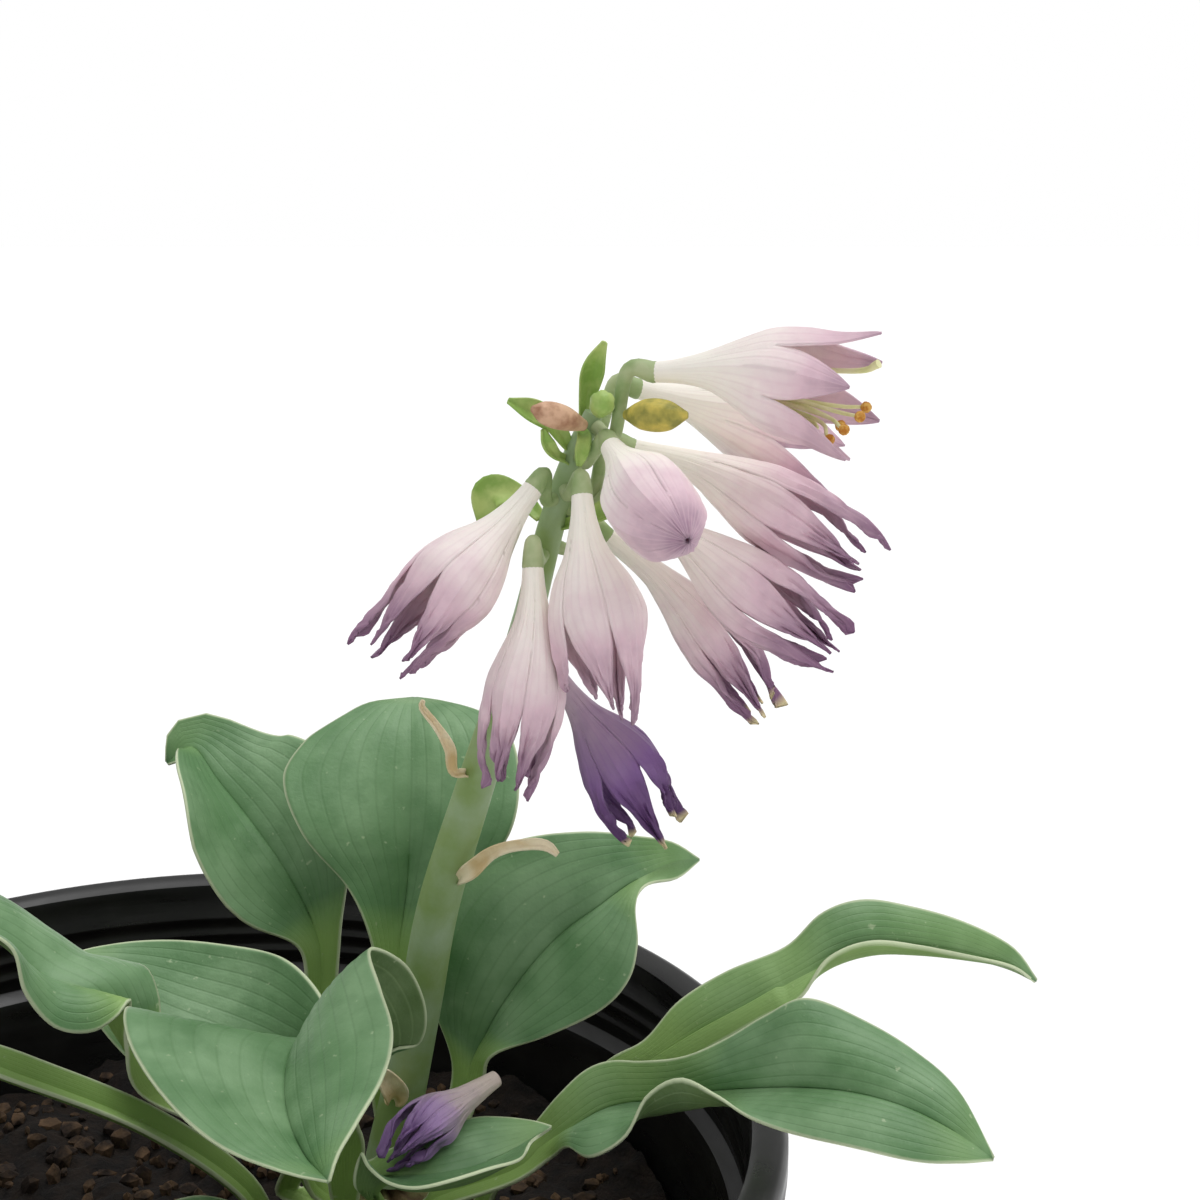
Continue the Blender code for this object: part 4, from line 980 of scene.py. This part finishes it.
# %% Building a flower
PETALS = 6
PETAL_COLUMNS = 12
FLOWER_ROWS = 56
PETAL_THICKNESS = 0.35
FLOWER_FACES = ((0.1, -0.7, 0.7), (0.1, -0.7, 0.7))
WITHER = {
    "flower_top_open": 0.0,
    "flower_top_rear": 0.1,
    "flower_right_wilted": 0.85,
    "flower_striped_bud": 0.25,
    "flower_right_middle": 0.95,
    "flower_right_low": 1.0,
    "flower_centre_pink": 0.55,
    "flower_stem_front": 0.85,
    "flower_left": 0.9,
    "flower_purple": 1.0,
    "flower_fallen": 0.9,
}


def flower_points(design, wither, seed):
    """Points of each petal, by petal, row and column, with their values. They join up below the split."""
    axis = spread_rows(smooth_curve(design["axis"]), FLOWER_ROWS + 1)
    frames = frames_along(axis, FLOWER_FACES)
    radii = np.array(design["radii"])
    places = np.linspace(0, 1, FLOWER_ROWS + 1)
    profile = smooth_curve([(n, 0, 0, radius) for n, radius in enumerate(radii)])
    profile = np.interp(places * (len(radii) - 1), profile[:, 0], profile[:, 3])
    split = design["split"]
    shape = (PETALS, FLOWER_ROWS + 1, PETAL_COLUMNS + 1)
    points = np.zeros((*shape, 3))
    values = {name: np.zeros(shape) for name in ("across", "along", "wither")}
    for k in range(PETALS):
        inner = k % 2
        for j, along in enumerate(places):
            past = max(0.0, along - split) / max(1e-6, 1 - split)
            tangent, up, right = frames[j]
            open_share = min(1.0, past * 3)
            narrowing = max(0.0, 1 - past**1.7) * (1 - 0.25 * wither * past)
            taper = math.sqrt(narrowing)
            half = math.pi / PETALS * (narrowing + 0.04) / 1.04 * (1 + 0.12 * inner * open_share)
            middle = 2 * math.pi * k / PETALS + 0.3 * wither * past * math.sin(2.3 * k + seed)
            for i in range(PETAL_COLUMNS + 1):
                across = 2 * i / PETAL_COLUMNS - 1
                turn = middle + half * across
                bell = min(1.0, along * 2.2)
                keel = 0.09 * taper * profile[j] * (1 - abs(across)) ** 1.5 * bell
                ribs = 0.12 * math.cos(2 * math.pi * 2.5 * across) * bell * taper * (1 - across**2)
                fold = -1.1 * wither * past * taper * (1 - abs(across)) * (1 if inner else -0.6)
                spoke = math.cos(turn) * right + math.sin(turn) * up
                radius = profile[j] + design["lean"][k] * past**2 + keel + ribs + fold
                radius -= 0.5 * inner * open_share
                place = axis[j, :3] + radius * spoke + design["reach"][k] * past**2 * tangent
                crease = ripple((across * taper * 4.5, along * 7.0, 2.0 * k), 1.0, seed)
                crumple = wither * (0.14 * bell + past) * 1.9 * crease
                points[k, j, i] = place + crumple * spoke
                values["across"][k, j, i] = across
                values["along"][k, j, i] = along
                values["wither"][k, j, i] = wither
    return points, values


def add_flower(name, design, finish, seed):
    points, values = flower_points(design, WITHER[name], seed)
    bm = bmesh.new()
    for k in range(PETALS):
        petal_values = {value: grid[k] for value, grid in values.items()}
        add_sheet(bm, PETAL_COLUMNS, FLOWER_ROWS, points[k], petal_values)
    bmesh.ops.remove_doubles(bm, verts=bm.verts, dist=0.004)
    piece = finish_piece(name + "_petals", bm, (finish,), (name,))
    thicken(piece, PETAL_THICKNESS)


def add_pedicel(name, design):
    base, ahead = (np.array(point, float) for point in design["axis"][:2])
    along = unit(ahead - base)
    start, outward = leave_stem(design["stem_height"], base - stem_at(design["stem_height"])[0])
    end_radius = design["radii"][0] + 0.35
    reach = np.linalg.norm(base - start)
    stations = (
        (*start, 1.2),
        (*(start + outward * reach * 0.3), 1.05),
        (*(base - along * reach * 0.3), 1.25),
        (*(base + along * 0.4), end_radius),
        (*(base + along * 1.2), end_radius * 0.9),
    )
    bm = bmesh.new()
    add_tube(bm, stations, 16, 30)
    bmesh.ops.recalc_face_normals(bm, faces=bm.faces)
    finish_piece(name + "_stalk", bm, (pedicel_green,), (name,))


for seed, (name, design) in enumerate(FLOWERS.items()):
    is_purple = name == "flower_purple"
    flower_finish = purple_petal if is_purple else petal
    add_flower(name, design, flower_finish, seed * 1.9)
    add_pedicel(name.replace("flower", "pedicel"), design)
add_flower("flower_fallen", FALLEN_FLOWER, fallen_petal, 31.0)
print(len(FLOWERS) + 1, "flowers")

# %% [markdown]
# Six stamens and a longer style stand in the open flower. A stamen is a thin pale filament that ends in a
# brown anther.

# %% Stamens and style
STAMEN_TIPS = (
    (112.5, -16.0, 331.0),
    (108.5, -16.5, 328.5),
    (116.0, -18.5, 334.5),
    (110.0, -20.5, 329.5),
    (112.0, -22.5, 331.5),
    (114.5, -22.0, 333.5),
)
STYLE_TIP = (117.0, -18.0, 341.0)
ANTHER_LENGTH = 1.6


def add_stamens():
    design = FLOWERS["flower_top_open"]
    axis = spread_rows(smooth_curve(design["axis"]), 9)
    _, up, right = frames_along(axis, FLOWER_FACES)[3]
    for number, tip in enumerate(STAMEN_TIPS):
        turn = math.radians(30 * number - 120)
        start = axis[3, :3] + 2.6 * (math.cos(turn) * right + math.sin(turn) * up)
        tip = np.array(tip)
        bend = axis[6, :3] * 0.6 + tip * 0.4 - np.array((0, 0, 1.5))
        neck = tip + unit(bend - tip) * ANTHER_LENGTH
        bm = bmesh.new()
        add_tube(bm, ((*start, 0.35), (*bend, 0.33), (*neck, 0.28)), 10, 24)
        bmesh.ops.recalc_face_normals(bm, faces=bm.faces)
        filament = len(bm.faces)
        lower, upper = neck * 0.7 + tip * 0.3, neck * 0.3 + tip * 0.7
        add_tube(bm, ((*neck, 0.4), (*lower, 0.85), (*upper, 0.8), (*tip, 0.3)), 10, 12)
        bm.faces.ensure_lookup_table()
        for face in bm.faces[filament:]:
            face.material_index = 1
        bmesh.ops.recalc_face_normals(bm, faces=bm.faces)
        node = f"open_flower_stamen_{number + 1}"
        finish_piece(node + "_anther", bm, (filament_cream, anther_brown), (node,))
    tip = np.array(STYLE_TIP)
    stations = (
        (*axis[1, :3], 0.5),
        (*(axis[4, :3] + np.array((0, 0, 1.4))), 0.45),
        (*(axis[7, :3] * 0.5 + tip * 0.5 + np.array((0, 0, 1.2))), 0.42),
        (*tip, 0.7),
    )
    bm = bmesh.new()
    add_tube(bm, stations, 12, 40)
    bmesh.ops.recalc_face_normals(bm, faces=bm.faces)
    finish_piece("open_flower_style_stalk", bm, (filament_cream,), ("open_flower_style",))


add_stamens()
print(len(STAMEN_TIPS), "stamens and a style")

# %% [markdown]
# Bracts are small leaf-like scales under the flowers. The fresh ones are boat-shaped and green. The three
# lower ones have dried to tan paper and twist. The buds beside them never opened.

# %% Bracts and buds
BRACTS = {
    "bract_apex_green": {
        "stem_height": 328.5,
        "toward": (-0.4, 0.9, 0.0),
        "cup": 40,
        "stations": ((73.6, 2.4, 334, 1.8), (74.8, 0.6, 338.5, 2.3), (76.3, -1.4, 342.5, 0.5)),
    },
    "bract_apex_left": {
        "stem_height": 325.0,
        "toward": (-0.9, -0.3, 0.2),
        "cup": 35,
        "stations": ((68, -1, 329, 2.0), (64.5, -3, 331.5, 2.4), (61, -4, 333.5, 0.5)),
    },
    "bract_apex_front": {
        "stem_height": 328.0,
        "toward": (-0.4, -0.9, 0.1),
        "cup": 30,
        "stations": ((73, -4.2, 327.5, 1.2), (72.6, -5.6, 325.5, 1.2), (72.2, -6.4, 323.5, 0.4)),
    },
    "bract_heart": {
        "stem_height": 313.0,
        "toward": (-0.95, 0.1, 0.3),
        "cup": 20,
        "stations": ((62, 5, 316.5, 2.0), (57.5, 6, 316.5, 3.2), (56, 5, 311.5, 0.6)),
    },
    "bract_right_green": {
        "stem_height": 313.0,
        "toward": (0.9, -0.3, 0.1),
        "cup": 35,
        "stations": ((75, -3, 315, 1.8), (78.5, -5, 318, 2.0), (78.5, -6, 322, 0.5)),
    },
    "bract_left_narrow": {
        "stem_height": 323.0,
        "toward": (-0.7, -0.7, 0.1),
        "cup": 30,
        "stations": ((68.4, -4.2, 325, 1.1), (67.2, -5.8, 327, 1.2), (66.6, -7, 329.5, 0.4)),
    },
    "bract_dried_upper": {
        "stem_height": 268.0,
        "toward": (-0.7, -0.6, 0.2),
        "cup": 45,
        "stations": (
            (50.8, 2.4, 270, 1.0),
            (50.3, 0.8, 274.5, 1.3),
            (48.3, -0.8, 279, 0.9),
            (46.3, -2, 282.5, 0.7),
            (46.6, -2.4, 284, 0.35),
        ),
    },
    "bract_dried_middle": {
        "stem_height": 249.0,
        "toward": (0.6, -0.7, 0.2),
        "cup": 40,
        "stations": (
            (53.5, 5.5, 251, 1.9),
            (57, 4.4, 254.4, 1.4),
            (61.5, 3, 256.4, 1.2),
            (66, 1.5, 257, 1.2),
            (68.3, 1, 255.6, 0.5),
        ),
    },
    "bract_dried_base": {
        "stem_height": 203.0,
        "toward": (-0.3, -0.9, 0.2),
        "cup": 35,
        "stations": ((38.5, 10.5, 206, 2.6), (37, 8.5, 210, 2.2), (35, 7.5, 213, 0.6)),
    },
}

# Buds: x, y, z and radius of each one's stations
BUDS = {
    "bud_apex_round": (
        (75.4, -2.5, 331.2, 0.8),
        (75.7, -4.8, 332.8, 1.9),
        (76.0, -6.6, 333.8, 1.8),
        (76.2, -7.8, 334.2, 0.5),
    ),
    "bud_apex_yellow": (
        (79.6, -4.8, 331.4, 0.8),
        (82.5, -7.6, 331.8, 2.4),
        (86, -9.6, 332, 2.3),
        (89, -10.6, 332.2, 0.5),
    ),
    "bud_apex_peach": (
        (73, -3.5, 329.5, 0.9),
        (70, -6, 331, 1.9),
        (67, -8, 332.2, 1.8),
        (65, -9, 333, 0.5),
    ),
}
BRACT_FACES = ((0.1, -0.8, 0.5), (0.1, -0.8, 0.5))
BRACT_COLUMNS = 12
BRACT_ROWS = 28
BRACT_THICKNESS = 0.35


def add_bract(name, design, seed):
    start, _ = leave_stem(design["stem_height"], design["toward"])
    cup = math.radians(design["cup"])
    stations = [(*start, 1.0), *design["stations"]]
    rows = spread_rows(smooth_curve(stations), BRACT_ROWS + 1)
    frames = frames_along(rows, BRACT_FACES)
    dried = "dried" in name
    points = np.zeros((BRACT_ROWS + 1, BRACT_COLUMNS + 1, 3))
    for j, (row, (_, face, right)) in enumerate(zip(rows, frames)):
        for i in range(BRACT_COLUMNS + 1):
            across = 2 * i / BRACT_COLUMNS - 1
            out, up = arc_across(row[3], cup * 0.5, cup, abs(across))
            place = row[:3] + math.copysign(out, across) * right + up * face
            points[j, i] = place + (0.5 if dried else 0.12) * ripple(place, 3.0, seed) * face
    bm = bmesh.new()
    add_sheet(bm, BRACT_COLUMNS, BRACT_ROWS, points)
    piece = finish_piece(name + "_scale", bm, (bract_straw if dried else bract_green,), (name,))
    thicken(piece, BRACT_THICKNESS)


for seed, (name, design) in enumerate(BRACTS.items()):
    add_bract(name, design, seed * 2.7)
BUD_FINISHES = {"bud_apex_round": bract_green, "bud_apex_yellow": bud_yellow, "bud_apex_peach": bud_peach}
for name, stations in BUDS.items():
    bm = bmesh.new()
    add_tube(bm, stations, 18, 26, lambda share, turn: 1 + 0.09 * math.cos(6 * turn) * share)
    bmesh.ops.recalc_face_normals(bm, faces=bm.faces)
    finish_piece(name + "_skin", bm, (BUD_FINISHES[name],), (name,))
print(len(BRACTS), "bracts and", len(BUDS), "buds")

# %% [markdown]
# A nursery pot is blow-moulded or injection-moulded from black polypropylene, 1 to 2 mm thick. Its rim is
# a rolled lip above a straight collar, and inside there are fine rings left by the mould. The plastic
# is satin black. Its gloss varies in soft level streaks, and a little pale dust lies on it.

# %% Nursery pot
POT_RIM_RADIUS = 108.0
POT_BASE_RADIUS = 82.0
POT_HEIGHT = 210.0
POT_WALL = 2.0
LIP_DROP = 7.0
LIP_WIDTH = 4.5
LIP_ROUND = 2.2
COLLAR_HEIGHT = 24.0
COLLAR_STEP = 3.0
POT_SEGMENTS = 160


def pot_radius(height):
    """Outer radius of the tapered wall below the collar."""
    top = POT_RIM_RADIUS - LIP_WIDTH - COLLAR_STEP
    return POT_BASE_RADIUS + (top - POT_BASE_RADIUS) * height / (POT_HEIGHT - COLLAR_HEIGHT)


def spin_profile(profile, segments):
    """A bmesh turned from an open profile of (radius, height) pairs that starts and ends on the axis."""
    bm = bmesh.new()
    verts = [bm.verts.new((radius, 0, height)) for radius, height in profile]
    edges = [bm.edges.new(pair) for pair in zip(verts, verts[1:])]
    bmesh.ops.spin(
        bm,
        geom=verts + edges,
        cent=(0, 0, 0),
        axis=(0, 0, 1),
        angle=2 * math.pi,
        steps=segments,
        use_merge=True,
    )
    bmesh.ops.remove_doubles(bm, verts=bm.verts, dist=0.001)
    bmesh.ops.recalc_face_normals(bm, faces=bm.faces)
    return bm


def pot_profile():
    """From the middle of the base, up the outside, over the lip, and down the inside to the middle."""
    shoulder = POT_HEIGHT - COLLAR_HEIGHT
    collar = POT_RIM_RADIUS - LIP_WIDTH
    step = pot_radius(shoulder)
    lip = [
        (POT_RIM_RADIUS - LIP_ROUND * (1 - math.cos(a)), POT_HEIGHT - LIP_ROUND * (1 - math.sin(a)))
        for a in np.radians(np.arange(0, 100, 15))
    ]
    inside = collar - POT_WALL
    rings = []
    for height in (POT_HEIGHT - 9, POT_HEIGHT - 13, POT_HEIGHT - 17):
        rings += [(inside, height + 0.9), (inside - 0.5, height + 0.3), (inside - 0.5, height - 0.3)]
        rings.append((inside, height - 0.9))
    wall = [(pot_radius(z) - POT_WALL, z) for z in np.arange(shoulder - 4, 12, -12)]
    return [
        (0, 0),
        (POT_BASE_RADIUS - 6, 0),
        (POT_BASE_RADIUS - 2, 0.3),
        (POT_BASE_RADIUS, 2),
        (step, shoulder - 0.4),
        (step + 0.6, shoulder),
        (collar - 0.5, shoulder + 1.8),
        (collar, shoulder + 2.6),
        (collar, POT_HEIGHT - LIP_DROP),
        (POT_RIM_RADIUS - 1.0, POT_HEIGHT - LIP_DROP),
        (POT_RIM_RADIUS, POT_HEIGHT - LIP_DROP + 0.9),
        *lip,
        (inside + 1.6, POT_HEIGHT - 0.3),
        (inside + 0.3, POT_HEIGHT - 1.2),
        (inside, POT_HEIGHT - 3),
        *rings,
        (inside, shoulder + 4),
        (step - POT_WALL + 0.3, shoulder + 2.2),
        (step - POT_WALL, shoulder + 1),
        *wall,
        (POT_BASE_RADIUS - POT_WALL, POT_WALL),
        (0, POT_WALL),
    ]


def pot_finish():
    finish, shader = new_finish("black_polypropylene", Roughness=0.32, IOR=1.49)
    place = add_node(finish, "TexCoord").outputs["Object"]
    dust = add_node(finish, "TexNoise", {"Vector": place, "Scale": per_mm(12), "Detail": 5.0})
    share = add_node(
        finish, "MapRange", {"Value": dust.outputs["Fac"], "From Min": 0.45, "From Max": 0.8, "To Max": 0.5}
    )
    tone = add_node(
        finish,
        "Mix",
        {MIX_SHARE: share.outputs["Result"], MIX_FROM: colour("141414"), MIX_TO: colour("2E2E2B")},
        data_type="RGBA",
    )
    stretch = add_node(finish, "Mapping", {"Vector": place, "Scale": (1.0, 1.0, 7.0)})
    scratch = add_node(
        finish, "TexNoise", {"Vector": stretch.outputs["Vector"], "Scale": per_mm(14), "Detail": 8.0}
    )
    gloss = add_node(
        finish,
        "MapRange",
        {"Value": scratch.outputs["Fac"], "From Min": 0.3, "From Max": 0.7, "To Min": 0.24, "To Max": 0.46},
    )
    bump = add_node(
        finish, "Bump", {"Height": scratch.outputs["Fac"], "Strength": 0.25, "Distance": 0.2 * MM}
    )
    set_inputs(
        finish,
        shader,
        {
            "Base Color": tone.outputs[MIX_RESULT],
            "Roughness": gloss.outputs["Result"],
            "Normal": bump.outputs["Normal"],
        },
    )
    return finish


pot = spin_profile(pot_profile(), POT_SEGMENTS)
finish_piece("nursery_pot_shell", pot, (pot_finish(),), ("nursery_pot",), 40)
print("pot:", 2 * POT_RIM_RADIUS, "mm across,", POT_HEIGHT, "mm tall")

# %% [markdown]
# Potting mix is bark, peat and grit. Its surface is a finely divided disc pushed up and down by noise
# of three sizes, from crumbs to lumps. Bigger granules of bark lie on it.

# %% Potting mix
SOIL_EDGE = 95.5
CROWN_FLAT = 24.0
MIX_SQUARES = 150  # along each side of the grid
GRANULES = 1100


def soil_height(x, y):
    """Height of the mix's surface: the CAD's gentle lumps, with crumbs on top."""
    lumps = math.sin(x / 11) * math.cos(y / 9 + 0.6) + 0.6 * math.sin(x / 6.3 + y / 7.1)
    from_crown = math.hypot(x - CROWN_CENTRE[0], y - CROWN_CENTRE[1])
    fade = min(1.0, max(0.0, (from_crown - CROWN_FLAT) / 12))
    crumbs = 1.6 * ripple((x, y, 0), 6) + 1.1 * ripple((x, y, 0), 2.8, 4) + 0.6 * ripple((x, y, 0), 1.4, 9)
    return SOIL_TOP + 2.6 * lumps * fade + crumbs


def add_mix():
    bm = bmesh.new()
    bmesh.ops.create_grid(bm, x_segments=MIX_SQUARES, y_segments=MIX_SQUARES, size=SOIL_EDGE)
    # The square grid is pulled into a disc
    for vert in bm.verts:
        x, y = vert.co.x / SOIL_EDGE, vert.co.y / SOIL_EDGE
        x, y = x * math.sqrt(1 - y * y / 2), y * math.sqrt(1 - x * x / 2)
        x, y = x * SOIL_EDGE, y * SOIL_EDGE
        vert.co = Vector((x, y, soil_height(x, y)))
    rim = [edge for edge in bm.edges if edge.is_boundary]
    lowered = bmesh.ops.extrude_edge_only(bm, edges=rim)["geom"]
    low = [item for item in lowered if isinstance(item, bmesh.types.BMVert)]
    for vert in low:
        scale = (pot_radius(5) - POT_WALL - 1.5) / SOIL_EDGE
        vert.co = Vector((vert.co.x * scale, vert.co.y * scale, POT_WALL + 1))
    bmesh.ops.contextual_create(bm, geom=low)
    bmesh.ops.recalc_face_normals(bm, faces=bm.faces)
    finish_piece("potting_mix_surface", bm, (mix_brown_and_painted_shade,), ("potting_mix",), 35)


def add_granules():
    rng = np.random.default_rng(7)
    bm = bmesh.new()
    for _ in range(GRANULES):
        turn, reach = rng.uniform(0, 2 * math.pi), SOIL_EDGE * 0.95 * math.sqrt(rng.uniform())
        x, y = reach * math.cos(turn), reach * math.sin(turn)
        size = rng.uniform(0.6, 2.4)
        if math.hypot(x - CROWN_CENTRE[0], y - CROWN_CENTRE[1]) < CROWN_RADIUS + size + 1:
            continue
        made = bmesh.ops.create_icosphere(bm, subdivisions=1, radius=size)["verts"]
        stretch = Vector(rng.uniform(0.55, 1.3, 3))
        seed = rng.uniform(0, 90)
        for vert in made:
            lump = 1 + 0.35 * ripple(vert.co, 2.0, seed)
            vert.co = Vector([c * s * lump for c, s in zip(vert.co, stretch)])
            vert.co += Vector((x, y, soil_height(x, y) + size * 0.2))
    print("granules on the mix, with", len(bm.faces), "faces in all")
    finish_piece("potting_mix_granules", bm, (chip_tan_and_painted_shade,), ("potting_mix",), 30)


add_mix()
add_granules()
print("mix,", 2 * SOIL_EDGE, "mm across, its top at", SOIL_TOP, "mm")

# %% [markdown]
# The crown is the short stub at soil level that all the stalks grow from. It is wrapped in old stalk bases.

# %% Crown


def add_crown():
    bm = bmesh.new()
    made = bmesh.ops.create_uvsphere(bm, u_segments=48, v_segments=32, radius=CROWN_RADIUS)["verts"]
    for vert in made:
        turn = math.atan2(vert.co.y, vert.co.x)
        ridge = 1 + 0.05 * math.cos(9 * turn) + 0.04 * ripple(vert.co, 4, 2)
        vert.co = Vector((vert.co.x * ridge, vert.co.y * ridge, max(0.0, vert.co.z) * ridge * 0.98))
        vert.co += Vector((*CROWN_CENTRE, SOIL_TOP - 0.5))
    bmesh.ops.remove_doubles(bm, verts=bm.verts, dist=0.01)
    bmesh.ops.recalc_face_normals(bm, faces=bm.faces)
    finish_piece("crown_stub", bm, (crown_green,), ("crown",))


add_crown()
print("crown,", 2 * CROWN_RADIUS, "mm across, at", CROWN_CENTRE)

# %% [markdown]
# Last, a pale floor goes under the pot.

# %% Floor and finish
floor_bm = bmesh.new()
bmesh.ops.create_grid(floor_bm, x_segments=1, y_segments=1, size=FLOOR_SIZE * MM)
floor_mesh = bpy.data.meshes.new("floor")
floor_bm.to_mesh(floor_mesh)
floor_bm.free()
floor_finish, _ = new_finish("pale_floor", Base_Color=colour("FFFFFF"), Roughness=0.9)
floor_mesh.materials.append(floor_finish)
floor = bpy.data.objects.new("floor", floor_mesh)
bpy.context.scene.collection.objects.link(floor)
